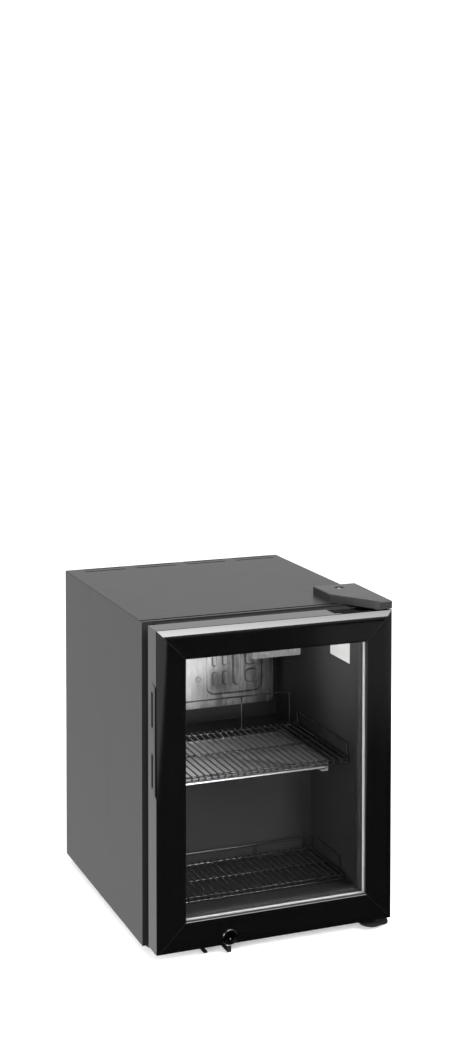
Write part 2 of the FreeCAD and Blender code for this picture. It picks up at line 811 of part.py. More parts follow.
stiles = {}
for side, label in ((-1, "left"), (1, "right")):
    edge = door_half * side
    inner = (door_half - s.member) * side
    loops = member_loops(lambda distance, side=side: (door_half - distance) * side, False)
    pad = prism(f"{label}_stile_pad", "XY_Plane", loops, s.door_height, (0, 0, above(door_low)))
    lipped = rounded(f"{label}_stile_lipped", pad, soft_lip("z", "x", inner))
    nosed = cut(f"{label}_stile_nosed", lipped, nose_corner(f"{label}_stile_nose", "z", edge, side))
    ends = mitre(f"{label}_stile_ends", [
        (edge, above(door_low)), (edge, above(door_high)),
        (inner, above(door_high - s.member)), (inner, above(door_low + s.member))])
    stiles[label] = common(f"{label}_stile_cut", nosed, ends)
node("left_stile", cut("left_stile", stiles["left"], grip_blank, finger_recess))

rails = {}
for side, label, level in ((1, "top", door_high), (-1, "bottom", door_low)):
    edge = above(level)
    inner = above(level - s.member * side)
    loops = member_loops(lambda distance, side=side, level=level: above(level - side * distance), True)
    pad = prism(f"{label}_rail_pad", "YZ_Plane", loops, s.door_width, (-door_half, 0, 0))
    lipped = rounded(f"{label}_rail_lipped", pad, soft_lip("x", "z", inner))
    nosed = cut(f"{label}_rail_nosed", lipped, nose_corner(f"{label}_rail_nose", "x", edge, side))
    ends = mitre(f"{label}_rail_ends", [
        (-door_half, edge), (door_half, edge), (door_half - s.member, inner), (-door_half + s.member, inner)])
    rails[label] = common(f"{label}_rail_cut", nosed, ends)
hinge_pocket = block("hinge_pocket", (95, door_half + 1), (behind(-46), behind(door_back + 1)),
                     (above(door_high - 1.4), above(door_high + 1)))
node("top_rail", cut("top_rail", rails["top"], hinge_bore_top, hinge_pocket))
node("right_stile", cut("right_stile", stiles["right"], hinge_bore_top, hinge_bore_low, hinge_pocket))
cam_slot = block("cam_slot", (s.lock_x - s.cam_length - 2, s.lock_x + 8),
                 (behind(s.cam_front - 1.5), behind(s.cam_rear + 1.5)),
                 (above(door_low - 1), above(door_low + s.member_wall + 0.5)))
lock_back = s.cam_front - 1
lock_at = (s.lock_x, behind(lock_back), above(s.lock_up))
barrel_bore = rod("barrel_bore", s.barrel_radius, 14, lock_at, "front")
node("bottom_rail", cut("bottom_rail", rails["bottom"], hinge_bore_low, cam_slot, barrel_bore))

# Corner keys inside the hollow members
keys = []
key_low = 3.2
key_high = 31
key_reach = 70
key_front = float(behind(-45))
key_depth = 24
for sx in (-1, 1):
    for sz in (-1, 1):
        corner = vec(sx * float(door_half), 0, above(door_high if sz > 0 else door_low))
        legs = []
        for across, upward in ((key_high, key_reach), (key_reach, key_high)):
            x_ends = sorted(corner.x - sx * amount for amount in (key_low, across))
            z_ends = sorted(corner.z - sz * amount for amount in (key_low, upward))
            legs.append(Part.makeBox(x_ends[1] - x_ends[0], key_depth, z_ends[1] - z_ends[0],
                                     vec(x_ends[0], key_front, z_ends[0])))
        bush_room = Part.makeCylinder(float(s.bush_radius), 20, vec(
            s.hinge_x, behind(s.hinge_y), corner.z - (18 if sz > 0 else 2)))
        keys.append(legs[0].fuse(legs[1]).removeSplitter().cut(bush_room))
node("corner_keys", shaped("corner_keys", Part.makeCompound(keys)))

# Glazing: two panes, the spacer between them, the seal in front and the retainer behind
pane_inset = s.rebate + 0.3
pane_box = (door_half - pane_inset, door_low + pane_inset, door_high - pane_inset)
opening = (door_half - s.member, door_low + s.member, door_high - s.member)
seal_front = door_front + s.lip_thick
pane_front = seal_front + s.seal_thick
gap_front = pane_front + s.pane_thick
gap_rear = gap_front + s.pane_gap
pane_rear = gap_rear + s.pane_thick
retainer_hole = (opening[0] - 0.6, opening[1] + 0.6, opening[2] - 0.6)
node("glazing_seal", ring_frame("glazing_seal", pane_box, retainer_hole,
                                (behind(seal_front), behind(pane_front))))
for label, start, end in (("front_pane", pane_front, gap_front), ("rear_pane", gap_rear, pane_rear)):
    node(label, block(label, (-pane_box[0], pane_box[0]), (behind(start), behind(end)),
                      (above(pane_box[1]), above(pane_box[2]))))
spacer_hole = (door_half - s.spacer_inset, door_low + s.spacer_inset, door_high - s.spacer_inset)
spacer_edge = (spacer_hole[0] + 7, spacer_hole[1] - 7, spacer_hole[2] + 7)
node("pane_spacer", ring_frame("pane_spacer", spacer_edge, spacer_hole,
                               (behind(gap_front), behind(gap_rear))))
node("pane_retainer", ring_frame("pane_retainer", pane_box, retainer_hole,
                                 (behind(pane_rear), behind(door_back))))

# Magnetic gasket: base, bellows and head
gasket_box = (s.gasket_outer, door_low + 4, door_high - 0.3)
gasket_layers = (("base", 0, door_back, -12), ("neck", 2.5, -12, -6), ("head", 0, -6, -s.gasket_clear))
gasket_steps = []
for label, inset, start, end in gasket_layers:
    width = s.gasket_width - inset
    outer = (gasket_box[0] - inset, gasket_box[1] + inset, gasket_box[2] - inset)
    inner = (gasket_box[0] - width, gasket_box[1] + width, gasket_box[2] - width)
    gasket_steps.append(ring_frame(f"gasket_{label}", outer, inner, (behind(start), behind(end))))
node("door_gasket", fuse("door_gasket", *gasket_steps))

# Hinge: plates on the cabinet, pins in them, bushes in the door
pin_bore = s.pin_radius + s.pin_clearance
axis_xy = (s.hinge_x, behind(s.hinge_y))
bush_top = turned("bush_top", [(pin_bore, 0), (s.bush_radius, 0), (s.bush_radius, s.bush_length - 1.4),
                               (pin_bore, s.bush_length - 1.4)],
                  (*axis_xy, above(door_high - s.bush_length)))
collar = s.bush_radius + 1.5
bush_end = s.door_rise + s.bush_length
bush_low = turned("bush_low", [(pin_bore, 0.2), (collar, 0.2), (collar, s.door_rise),
                               (s.bush_radius, s.door_rise),
                               (s.bush_radius, bush_end), (pin_bore, bush_end)], (*axis_xy, above(0)))
bushes = doc.addObject("Part::Compound", "hinge_bushes")
bushes.Links = [bush_top, bush_low]
node("hinge_bushes", bushes)

plate_z = s.cab_height
top_plate_blank = prism("top_plate_blank", "XY_Plane", [[
    (122, behind(76)), (122, behind(24)), (158, behind(-32)), (164, behind(-46)),
    (181, behind(-46)), (184, behind(-30)), (184, behind(76))]], s.hinge_plate, (0, 0, above(plate_z)))
top_pin_hole = rod("top_pin_hole", s.pin_radius, 20, (*axis_xy, above(plate_z - 10)))
node("top_hinge_plate", cut("top_hinge_plate", top_plate_blank, top_pin_hole))
pin_drop = s.hinge_plate + s.cab_height - door_high + s.bush_length - 2
node("top_hinge_pin", turned("top_hinge_pin", [
    (0, -pin_drop), (s.pin_radius - 0.8, -pin_drop), (s.pin_radius, -pin_drop + 0.8), (s.pin_radius, 0),
    (6, 0), (6, 1.6), (5.4, 2.2), (0, 2.2)], (*axis_xy, above(plate_z + s.hinge_plate))))
top_seats = [vec(x, behind(y), above(plate_z + s.hinge_plate)) for x, y in ((134, 62), (171, 62), (134, 34))]
screw_set("top_hinge_screws", top_seats, UP, 4.5, 2.4, 2.2, 14)

low_plate_blank = prism("low_plate_blank", "XY_Plane", [[
    (142, behind(55)), (142, behind(-54)), (door_half, behind(-54)), (door_half, behind(55))]],
    s.hinge_plate, (0, 0, above(-s.hinge_plate)))
low_plate_round = rounded("low_plate_round", low_plate_blank, (
    lambda edge: along_axis(edge, "z", y=behind(-54)), 14))
low_pin_hole = rod("low_pin_hole", s.pin_radius, 20, (*axis_xy, above(-10)))
node("bottom_hinge_plate", cut("bottom_hinge_plate", low_plate_round, low_pin_hole))
pin_rise = s.door_rise + s.bush_length - 2
node("bottom_hinge_pin", turned("bottom_hinge_pin", [
    (0, -s.hinge_plate), (s.pin_radius, -s.hinge_plate), (s.pin_radius, pin_rise - 0.8),
    (s.pin_radius - 0.8, pin_rise), (0, pin_rise)], (*axis_xy, above(0))))
low_seats = [vec(x, behind(y), above(-s.hinge_plate)) for x, y in ((153, 18), (176, 18), (165, 42))]
screw_set("bottom_hinge_screws", low_seats, DOWN, 4.5, 2.4, 2.2, 12)

# Cover over the top hinge: a five-sided shell with a sunk screw
cap_base = s.cab_height
cap_top = cap_base + s.cap_height
cap_x = 118
cap_outer = prism("cap_outer", "XY_Plane", [[
    (cap_x, behind(82)), (cap_x, behind(20)), (165, behind(-53)), (door_half, behind(-53)),
    (half - 0.5, behind(82))]], s.cap_height, (0, 0, above(cap_base)))
cap_round = rounded("cap_round", cap_outer, (
    lambda edge: edge.BoundBox.ZLength < 0.01 and near(edge.BoundBox.ZMin, above(cap_top)), 1.6))
cap_hollow = prism("cap_hollow", "XY_Plane", [[
    (cap_x + s.cap_wall, behind(82 - s.cap_wall)), (cap_x + s.cap_wall, behind(20 + s.cap_wall * 0.3)),
    (165 + s.cap_wall * 0.5, behind(-53 + s.cap_wall)), (door_half - s.cap_wall, behind(-53 + s.cap_wall)),
    (half - 0.5 - s.cap_wall, behind(82 - s.cap_wall))]],
    s.cap_height - s.cap_wall, (0, 0, above(cap_base - 0.01)))
cap_screw = (152, behind(60))
cap_shell = cut("cap_shell", cap_round, cap_hollow)
cap_boss = rod("cap_boss", 9, s.cap_height - s.hinge_plate - 1,
               (*cap_screw, above(cap_base + s.hinge_plate)))
cap_solid = fuse("cap_solid", cap_shell, cap_boss)
cap_recess = rod("cap_recess", 7, 6, (*cap_screw, above(cap_top - 4)))
cap_bore = rod("cap_bore", 2.2, 20, (*cap_screw, above(cap_base)))
node("hinge_cover", cut("hinge_cover", cap_solid, cap_recess, cap_bore))
screw_set("hinge_cover_screw", [vec(*cap_screw, above(cap_top - 4))], UP, 5, 2.4, 2, 8)

# Lock: barrel in the bottom member, plug and cam that turn, and the strike below the cabinet
barrel_out = lock_back - door_front
flange_out = barrel_out + s.lock_proud
node("lock_barrel", turned("lock_barrel", [
    (s.plug_radius + 0.05, 0), (s.barrel_radius, 0), (s.barrel_radius, barrel_out), (s.lock_face, barrel_out),
    (s.lock_face, flange_out - 1.2), (s.lock_face - 1.6, flange_out), (s.plug_radius + 0.05, flange_out)],
    lock_at, "front"))
plug_rear = 3
plug_blank = turned("plug_blank", [
    (0, -plug_rear), (3.5, -plug_rear), (3.5, -0.9), (s.plug_radius, -0.9),
    (s.plug_radius, flange_out - 0.4), (0, flange_out - 0.4)], lock_at, "front")
key_slot = block("key_slot", (s.lock_x - 0.8, s.lock_x + 0.8),
                 (behind(door_front - 4), behind(door_front + 5)),
                 (above(s.lock_up - 4), above(s.lock_up + 4)))
node("lock_plug", cut("lock_plug", plug_blank, key_slot))
cam_blank = block("cam_blank", (s.lock_x - s.cam_length, s.lock_x + 6),
                  (behind(s.cam_front), behind(s.cam_rear)),
                  (above(s.lock_up - s.cam_half), above(s.lock_up + s.cam_half)))
cam_hole = rod("cam_hole", 3.5, 6, (s.lock_x, behind(s.cam_rear + 2), above(s.lock_up)), "front")
node("lock_cam", cut("lock_cam", cam_blank, cam_hole))

strike_bars = (
    ("pad", (-110, -66), (3, 36), (-2, 0)),
    ("web", (-110, -70), (3, 5), (-8, 0)),
    ("tongue", (-109, -70), (-12, 5), (-8, -6)),
    ("left_prong", (-109, -103), (-38, -11), (-8, -6)),
    ("right_prong", (-76, -70), (-48, -11), (-8, -6)),
    ("hook", (-76, -70), (-48, -46.5), (-8, 1)),
)
strike = [block(f"strike_{label}", x, (behind(y[0]), behind(y[1])), (above(z[0]), above(z[1])))
          for label, x, y, z in strike_bars]
node("strike_plate", fuse("strike_plate", *strike))


# Feet: ringed discs
def foot(name, x, y, tall):
    """Make a ringed foot whose top is at the given height."""
    r = s.foot_radius
    return turned(name, [(0, 0), (r - 1.5, 0), (r, 1.5), (r, 4), (r - 1.4, 4.6), (r - 1.4, 5.4), (r, 6),
                         (r, tall), (0, tall)], (x, behind(y), 0))


node("front_right_foot", foot("front_right_foot", 168, -21, s.foot_height - s.hinge_plate))
node("front_left_foot", foot("front_left_foot", -s.side_foot_x, 26, s.foot_height))
rear_feet = doc.addObject("Part::Compound", "rear_feet")
rear_feet.Links = [foot(f"{label}_rear_foot", x, s.rear_foot_depth, s.foot_height)
                   for label, x in (("left", -s.side_foot_x), ("right", s.side_foot_x))]
node("rear_feet", rear_feet)

# Compressor on its plate and rubber mounts
pot_y = behind(s.compressor_y)
pot_at = (s.compressor_x, pot_y, above(12))
r = s.pot_radius
node("compressor", turned("compressor", [
    (0, 0), (50, 0), (58, 6), (r, 20), (r, 68), (r + 3, 68), (r + 3, 72), (r, 72), (r, 104), (56, 120),
    (40, 131), (20, 136), (0, 137)], pot_at))
plate_y = (behind(s.compressor_y - 62), behind(s.compressor_y + 62))
node("compressor_plate", block("compressor_plate", (s.compressor_x - 82, s.compressor_x + 82), plate_y,
                               (above(10), above(12))))
mounts = [(float(s.compressor_x) + sx * 72, float(pot_y) + sy * 52) for sx in (-1, 1) for sy in (-1, 1)]
grommets = []
for x, y in mounts:
    seat = vec(x, y, above(1))
    grommets.append(Part.makeCylinder(9, 9, seat).cut(Part.makeCylinder(3.2, 9, seat)))
node("compressor_grommets", shaped("compressor_grommets", Part.makeCompound(grommets)))
screw_set("compressor_bolts", [vec(x, y, above(12)) for x, y in mounts], UP, 6, 3, 3, 12)
relay_blank = block("relay_blank", (s.compressor_x - 90, s.compressor_x - 40),
                    (behind(s.compressor_y - 20), behind(s.compressor_y + 20)), (above(36), above(76)))
relay_room = rod("relay_room", s.pot_radius + 0.2, 60, (s.compressor_x, pot_y, above(30)))
node("relay_cover", cut("relay_cover", relay_blank, relay_room))

# Condenser in the rear air duct: serpentine tube with upright wires
coil_y = behind(s.coil_depth)
COIL_PASSES = 9
coil_start = s.coil_low - 34
coil_high = s.coil_low + s.coil_rise * (COIL_PASSES - 1)
coil_points = [vec(s.coil_ends, coil_y, above(coil_start)), vec(s.coil_ends, coil_y, above(s.coil_low))]
for index in range(COIL_PASSES):
    level = above(s.coil_low + s.coil_rise * index)
    side = -1 if index % 2 == 0 else 1
    if index > 0:
        coil_points.append(vec(-side * s.coil_reach, coil_y, level))
    if index < COIL_PASSES - 1:
        coil_points.append(vec(side * s.coil_reach, coil_y, level))
coil_points += [vec(-s.coil_ends, coil_y, above(coil_high)), vec(-s.coil_ends, coil_y, above(s.drier_top))]
node("condenser_tube", shaped("condenser_tube", bent_tube(coil_points, s.coil_radius, 12)))
COIL_WIRE = 0.8
wire_y = coil_y + s.coil_radius + COIL_WIRE
wire_foot = above(s.coil_low - 8)
wire_head = above(coil_high + 8)
coil_wires = []
for index in range(22):
    x = -126 + 12 * index
    coil_wires.append(bar(vec(x, wire_y, wire_foot), vec(x, wire_y, wire_head), COIL_WIRE))
node("condenser_wires", shaped("condenser_wires", Part.makeCompound(coil_wires)))

pot_right = s.compressor_x + s.pot_radius - 1
discharge = [vec(pot_right, pot_y, above(96)), vec(s.coil_ends, pot_y, above(96)),
             vec(s.coil_ends, coil_y, above(96)), vec(s.coil_ends, coil_y, above(coil_start))]
node("discharge_pipe", shaped("discharge_pipe", bent_tube(discharge, s.coil_radius, 14)))
pot_left = s.compressor_x - s.pot_radius + 1
riser_y = behind(s.foam_back + 8)
suction = [vec(pot_left, pot_y, above(98)), vec(SUCTION_X, pot_y, above(98)),
           vec(SUCTION_X, riser_y, above(98)), vec(SUCTION_X, riser_y, above(SUCTION_UP)),
           vec(SUCTION_X, behind(s.plate_depth + s.plate_thick), above(SUCTION_UP))]
node("suction_pipe", shaped("suction_pipe", bent_tube(suction, 3.2, 4)))
drier_profile = [(0, 0), (2.5, 0), (3, 8), (9, 16), (9, 62), (3, 72), (2.5, 80), (0, 80)]
node("filter_drier", turned("filter_drier", drier_profile, (-s.coil_ends, coil_y, above(s.drier_top - 80))))

# Thermostat behind the rear cover, its knob in the cover's hole, and the cord's gland
stat_half = 22
stat_body = block("stat_body", (s.knob_x - stat_half, s.knob_x + stat_half), (behind(352), behind(390)),
                  (above(s.knob_up - 16), above(s.knob_up + 16)))
stat_ears = []
for label, x in (("left", s.knob_x - stat_half - 4), ("right", s.knob_x + stat_half - 1)):
    stat_ears.append(block(f"{label}_stat_ear", (x, x + 5), (behind(380), cover_front),
                           (above(s.knob_up - 8), above(s.knob_up + 8))))
node("thermostat_body", fuse("thermostat_body", stat_body, *stat_ears))
knob_profile = [(0, 0.3), (15.5, 0.3), (15.5, 2.2), (13.6, 3), (12.6, 9), (0, 9)]
knob_blank = turned("knob_blank", knob_profile, (s.knob_x, behind(390), above(s.knob_up)), "rear")
knob_mark = block("knob_mark", (s.knob_x - 0.6, s.knob_x + 0.6), (behind(398.4), behind(400)),
                  (above(s.knob_up + 4), above(s.knob_up + 12)))
node("thermostat_knob", cut("thermostat_knob", knob_blank, knob_mark))
gland_profile = [(4.2, 0), (6.5, 0), (8, 6), (8, 10.8), (11, 10.8), (11, 12), (9.5, 13), (4.2, 13)]
node("cable_gland", turned("cable_gland", gland_profile, (s.gland_x, behind(387), above(s.gland_up)), "rear"))

doc.recompute()
faults = []
for part in doc.Objects:
    if "Invalid" in part.State or "Error" in part.State:
        faults.append(f"{part.Name}: {part.State}")
for name, part in nodes.items():
    if part.Shape.isNull() or not part.Shape.isValid() or not part.Shape.Solids:
        faults.append(f"{name}: shape null, not valid or with no solid")
if faults:
    raise RuntimeError("; ".join(faults))

os.makedirs("parts", exist_ok=True)
for name, part in nodes.items():
    part.Shape.exportStep(f"parts/{name}.step")
    box = part.Shape.BoundBox
    spans = " ".join(f"{low:7.1f} {high:7.1f}" for low, high in (
        (box.XMin, box.XMax), (box.YMin, box.YMax), (box.ZMin, box.ZMax)))
    print(f"{name:22s} {len(part.Shape.Solids):3d} solids {part.Shape.Volume / 1000:9.2f} cm3 {spans}")
whole = Part.makeCompound([part.Shape for part in nodes.values()]).BoundBox
print(len(nodes), "nodes, box", whole)
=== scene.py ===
"""The looks of a countertop beverage fridge with a glass door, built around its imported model.

Sizes in the classes are millimetres in the model's own frame, where +Z is up and the door faces -Y. A piece
is shaped in millimetres, in place, and scaled to metres when it is installed.
"""

from __future__ import annotations

import logging
import math
from collections.abc import Iterable, Sequence
from dataclasses import dataclass
from enum import Enum

import bmesh
import bpy
from mathutils import Matrix, Vector


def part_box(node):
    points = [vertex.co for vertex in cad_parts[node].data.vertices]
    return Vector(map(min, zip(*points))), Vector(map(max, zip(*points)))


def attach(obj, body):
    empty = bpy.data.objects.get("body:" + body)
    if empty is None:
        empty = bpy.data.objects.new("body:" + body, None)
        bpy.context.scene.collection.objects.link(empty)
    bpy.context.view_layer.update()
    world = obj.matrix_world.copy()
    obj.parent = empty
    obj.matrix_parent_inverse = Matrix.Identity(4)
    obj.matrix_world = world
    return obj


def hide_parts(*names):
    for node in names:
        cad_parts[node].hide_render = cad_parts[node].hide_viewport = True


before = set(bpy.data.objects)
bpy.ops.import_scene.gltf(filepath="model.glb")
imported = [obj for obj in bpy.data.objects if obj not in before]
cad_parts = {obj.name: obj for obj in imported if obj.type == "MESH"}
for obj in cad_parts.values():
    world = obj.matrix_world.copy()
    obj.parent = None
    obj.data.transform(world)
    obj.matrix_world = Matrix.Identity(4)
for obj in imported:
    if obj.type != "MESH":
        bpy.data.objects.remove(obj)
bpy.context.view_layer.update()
MM = 0.001
LOG = logging.getLogger("fridge")


class Value:
    """A number that changes over a surface: a socket whose sums and products add Math nodes."""

    def __init__(self, surface: Surface, socket: bpy.types.NodeSocket) -> None:
        """Hold a socket of a surface's node tree."""
        self.surface = surface
        self.socket = socket

    def maths(self, operation: str, *terms: Value | float) -> Value:
        """Add a Math node for an operation on terms and give its result."""
        return self.surface.node("ShaderNodeMath", {"operation": operation}, dict(enumerate(terms)))

    def __add__(self, other: Value | float) -> Value:
        """Add two values."""
        return self.maths("ADD", self, other)

    __radd__ = __add__

    def __sub__(self, other: Value | float) -> Value:
        """Take another value away."""
        return self.maths("SUBTRACT", self, other)

    def __rsub__(self, other: Value | float) -> Value:
        """Take this value away from a number."""
        return self.maths("SUBTRACT", other, self)

    def __mul__(self, other: Value | float) -> Value:
        """Multiply two values."""
        return self.maths("MULTIPLY", self, other)

    __rmul__ = __mul__

    def __abs__(self) -> Value:
        """Give the value without its sign."""
        return self.maths("ABSOLUTE", self)

    def least(self, other: Value | float) -> Value:
        """Give the smaller of two values."""
        return self.maths("MINIMUM", self, other)

    def most(self, other: Value | float) -> Value:
        """Give the larger of two values."""
        return self.maths("MAXIMUM", self, other)

    def rise(self, low: float, high: float) -> Value:
        """Give a smooth step from 0 at low to 1 at high."""
        sockets = {"Value": self, "From Min": low, "From Max": high}
        return self.surface.node("ShaderNodeMapRange", {"interpolation_type": "SMOOTHSTEP"}, sockets)


class Surface:
    """The node tree of a material or of the world, with short ways to add what it needs."""

    def __init__(self, owner: bpy.types.Material | bpy.types.World) -> None:
        """Start an empty node tree on its owner."""
        owner.use_nodes = True
        self.tree = owner.node_tree
        self.tree.nodes.clear()

    def node(self, kind: str, settings: dict | None = None, sockets: dict | None = None, out: int | str = 0) -> Value:
        """Add a node.

        Args:
            kind: The node's type.
            settings: Its settings by name, set first.
            sockets: Values or links by the name or number of its input sockets.
            out: The output socket that is wanted.

        Returns:
            That output, or a Value that holds nothing where the node has no outputs.
        """
        made = self.tree.nodes.new(kind)
        for name, setting in (settings or {}).items():
            setattr(made, name, setting)
        for name, term in (sockets or {}).items():
            if isinstance(term, Value):
                self.tree.links.new(term.socket, made.inputs[name])
            else:
                made.inputs[name].default_value = term
        return Value(self, made.outputs[out] if made.outputs else None)

    def place(self, stretch: Sequence[float] = (1, 1, 1)) -> Value:
        """Give the object coordinates in metres, stretched along the axes."""
        where = self.node("ShaderNodeTexCoord", out="Object")
        return self.node("ShaderNodeMapping", None, {"Vector": where, "Scale": tuple(stretch)})

    def axes(self) -> tuple[Value, Value, Value]:
        """Split the object coordinates.

        Returns:
            X, Y and Z in metres.
        """
        where = self.node("ShaderNodeTexCoord", out="Object")
        split = self.node("ShaderNodeSeparateXYZ", None, {0: where}).socket.node
        return tuple(Value(self, socket) for socket in split.outputs)

    def noise(self, size: float, detail: float = 2.0, stretch: Sequence[float] = (1, 1, 1)) -> Value:
        """Give a noise.

        Args:
            size: The width of its spots in millimetres.
            detail: How many finer layers it has.
            stretch: The axes' factors; a small one draws the spots out along its axis.

        Returns:
            A value about 0.5.
        """
        sockets = {"Vector": self.place(stretch), "Scale": 1000 / size, "Detail": detail}
        return self.node("ShaderNodeTexNoise", None, sockets)

    def cells(self, size: float) -> Value:
        """Give cells about that many millimetres wide, each with a colour of its own."""
        sockets = {"Vector": self.place(), "Scale": 1000 / size}
        return self.node("ShaderNodeTexVoronoi", {"feature": "F1"}, sockets, "Color")

    def mix(self, factor: Value | float, low: Sequence[float] | Value, high: Sequence[float] | Value) -> Value:
        """Mix two colours."""
        return self.node("ShaderNodeMix", {"data_type": "RGBA"}, {0: factor, 6: low, 7: high}, 2)

    def bump(self, height: Value, depth: float, strength: float) -> Value:
        """Give a normal that stands for a relief of that many millimetres."""
        sockets = {"Height": height, "Distance": depth * MM, "Strength": strength}
        return self.node("ShaderNodeBump", None, sockets)

    def attribute(self, name: str) -> Value:
        """Give a value that the mesh holds at its vertices."""
        settings = {"attribute_type": "GEOMETRY", "attribute_name": name}
        return self.node("ShaderNodeAttribute", settings, None, "Fac")

    def edge_closeness(self, node: str, width: float) -> Value:
        """Tell how close a point is to an edge of a CAD node's box.

        Args:
            node: The CAD node.
            width: How many millimetres from the edge the value fades out.

        Returns:
            1 at an edge and 0 away from it.
        """
        low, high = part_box(node)
        gaps = [abs(abs(at - (a + b) / 2) - (b - a) / 2) for at, a, b in zip(self.axes(), low, high)]
        middle = gaps[0].least(gaps[1]).most(gaps[0].most(gaps[1]).least(gaps[2]))
        return 1 - middle.rise(0, width * MM)

    def principled(self, **sockets: Value | float | Sequence[float]) -> Value:
        """Add a Principled shader whose sockets are named with underscores for blanks."""
        return self.node("ShaderNodeBsdfPrincipled", None, {k.replace("_", " "): v for k, v in sockets.items()})

    def output(self, shader: Value) -> None:
        """Make a shader the material's surface."""
        self.node("ShaderNodeOutputMaterial", None, {"Surface": shader})


def grey(level: float) -> tuple[float, float, float, float]:
    """Give a grey as a colour."""
    return (level, level, level, 1.0)


@dataclass(frozen=True)
class Finish:
    """A surface finish that a material is made from."""

    name: str

    def material(self) -> bpy.types.Material:
        """Make the finish's material the first time it is asked for.

        Returns:
            The material.
        """
        name = f"{self.name}_finish"
        made = bpy.data.materials.get(name)
        if made is None:
            made = bpy.data.materials.new(name)
            surface = Surface(made)
            surface.output(self.shader(surface))
        return made

    def shader(self, surface: Surface) -> Value:
        """Build the finish's nodes.

        Args:
            surface: The material's node tree.

        Returns:
            The shader.
        """
        raise NotImplementedError


@dataclass(frozen=True)
class PaintedSheet(Finish):
    """Powder-coated sheet steel: satin, a fine orange peel, faint handling marks and paler folds.

    The flange behind the door is painted darker and duller, as painted shade: it lies in the door's shade.
    """

    level: float = 0.016
    roughness: float = 0.36
    box: str = "outer_wrap"

    def shader(self, surface: Surface) -> Value:
        """Build the paint's nodes.

        Args:
            surface: The material's node tree.

        Returns:
            The shader.
        """
        patches = surface.noise(90, 3.0)
        smears = surface.noise(34, 4.0, (1.0, 1.0, 0.25)).rise(0.5, 0.8)
        peel = surface.noise(0.9, 1.0)
        fold = surface.edge_closeness(self.box, 1.6) * surface.noise(6, 3.0).rise(0.3, 0.7)
        tone = surface.mix(patches, grey(self.level * 0.92), grey(self.level * 1.08))
        # Painted shade: the flange's front face behind the door is darkened and dulled for the door's shadow.
        flange = 1 - surface.axes()[1].rise(-0.1699, -0.1692)
        worn = surface.mix(fold * 0.5, tone, grey(self.level * 2.5))
        return surface.principled(
            Base_Color=surface.mix(flange, worn, grey(self.level * 0.15)),
            Roughness=self.roughness - 0.01 + 0.02 * patches + 0.015 * smears + 0.45 * flange,
            Specular_IOR_Level=0.22,
            Normal=surface.bump(peel, 0.02, 0.3),
        )


@dataclass(frozen=True)
class Lacquer(Finish):
    """Deep gloss lacquer on a smooth moulding, with very faint wiping marks."""

    level: float = 0.001
    roughness: float = 0.06
    lip: tuple[float, float, float] = (0.1425, 0.2521, 0.1904)

    def shader(self, surface: Surface) -> Value:
        """Build the lacquer's nodes, dull on the lips' inner faces.

        Args:
            surface: The material's node tree.

        Returns:
            The shader.
        """
        wiped = surface.noise(45, 5.0, (1.0, 1.0, 0.35))
        half_wide, middle, half_high = self.lip
        x, _, z = surface.axes()
        inner = (1 - abs(x).rise(half_wide - 1e-4, half_wide)) * (1 - abs(z - middle).rise(half_high - 1e-4, half_high))
        return surface.principled(
            Base_Color=surface.mix(wiped, grey(self.level * 0.8), grey(self.level * 1.3)),
            Roughness=self.roughness - 0.02 + 0.04 * wiped + 0.9 * inner,
            Normal=surface.bump(surface.noise(14, 1.0), 0.012, 0.4),
        )


@dataclass(frozen=True)
class Moulded(Finish):
    """Injection-moulded or vacuum-formed plastic with an even spark grain."""

    colour: tuple[float, float, float] = (0.02, 0.02, 0.02)
    roughness: float = 0.45
    grain: float = 0.45
    relief: float = 0.02
    shine: float = 0.5

    def shader(self, surface: Surface) -> Value:
        """Build the plastic's nodes.

        Args:
            surface: The material's node tree.

        Returns:
            The shader.
        """
        patches = surface.noise(35, 3.0)
        grain = surface.noise(self.grain, 1.0)
        dark = tuple(0.85 * c for c in self.colour) + (1.0,)
        pale = tuple(1.15 * c for c in self.colour) + (1.0,)
        return surface.principled(
            Base_Color=surface.mix(patches, dark, pale),
            Roughness=self.roughness - 0.05 + 0.1 * patches,
            Specular_IOR_Level=self.shine,
            Normal=surface.bump(grain, self.relief, 0.5),
        )


@dataclass(frozen=True)
class Rubber(Finish):
    """Matt rubber or soft vinyl, dusted where it is not rubbed."""

    level: float = 0.012
    roughness: float = 0.62
    shine: float = 0.5

    def shader(self, surface: Surface) -> Value:
        """Build the rubber's nodes.

        Args:
            surface: The material's node tree.

        Returns:
            The shader.
        """
        dust = surface.noise(12, 4.0).rise(0.45, 0.8)
        return surface.principled(
            Base_Color=surface.mix(dust, grey(self.level), grey(self.level * 2.2)),
            Roughness=self.roughness + 0.12 * dust,
            Specular_IOR_Level=self.shine,
            Normal=surface.bump(surface.noise(0.7, 2.0), 0.03, 0.5),
        )


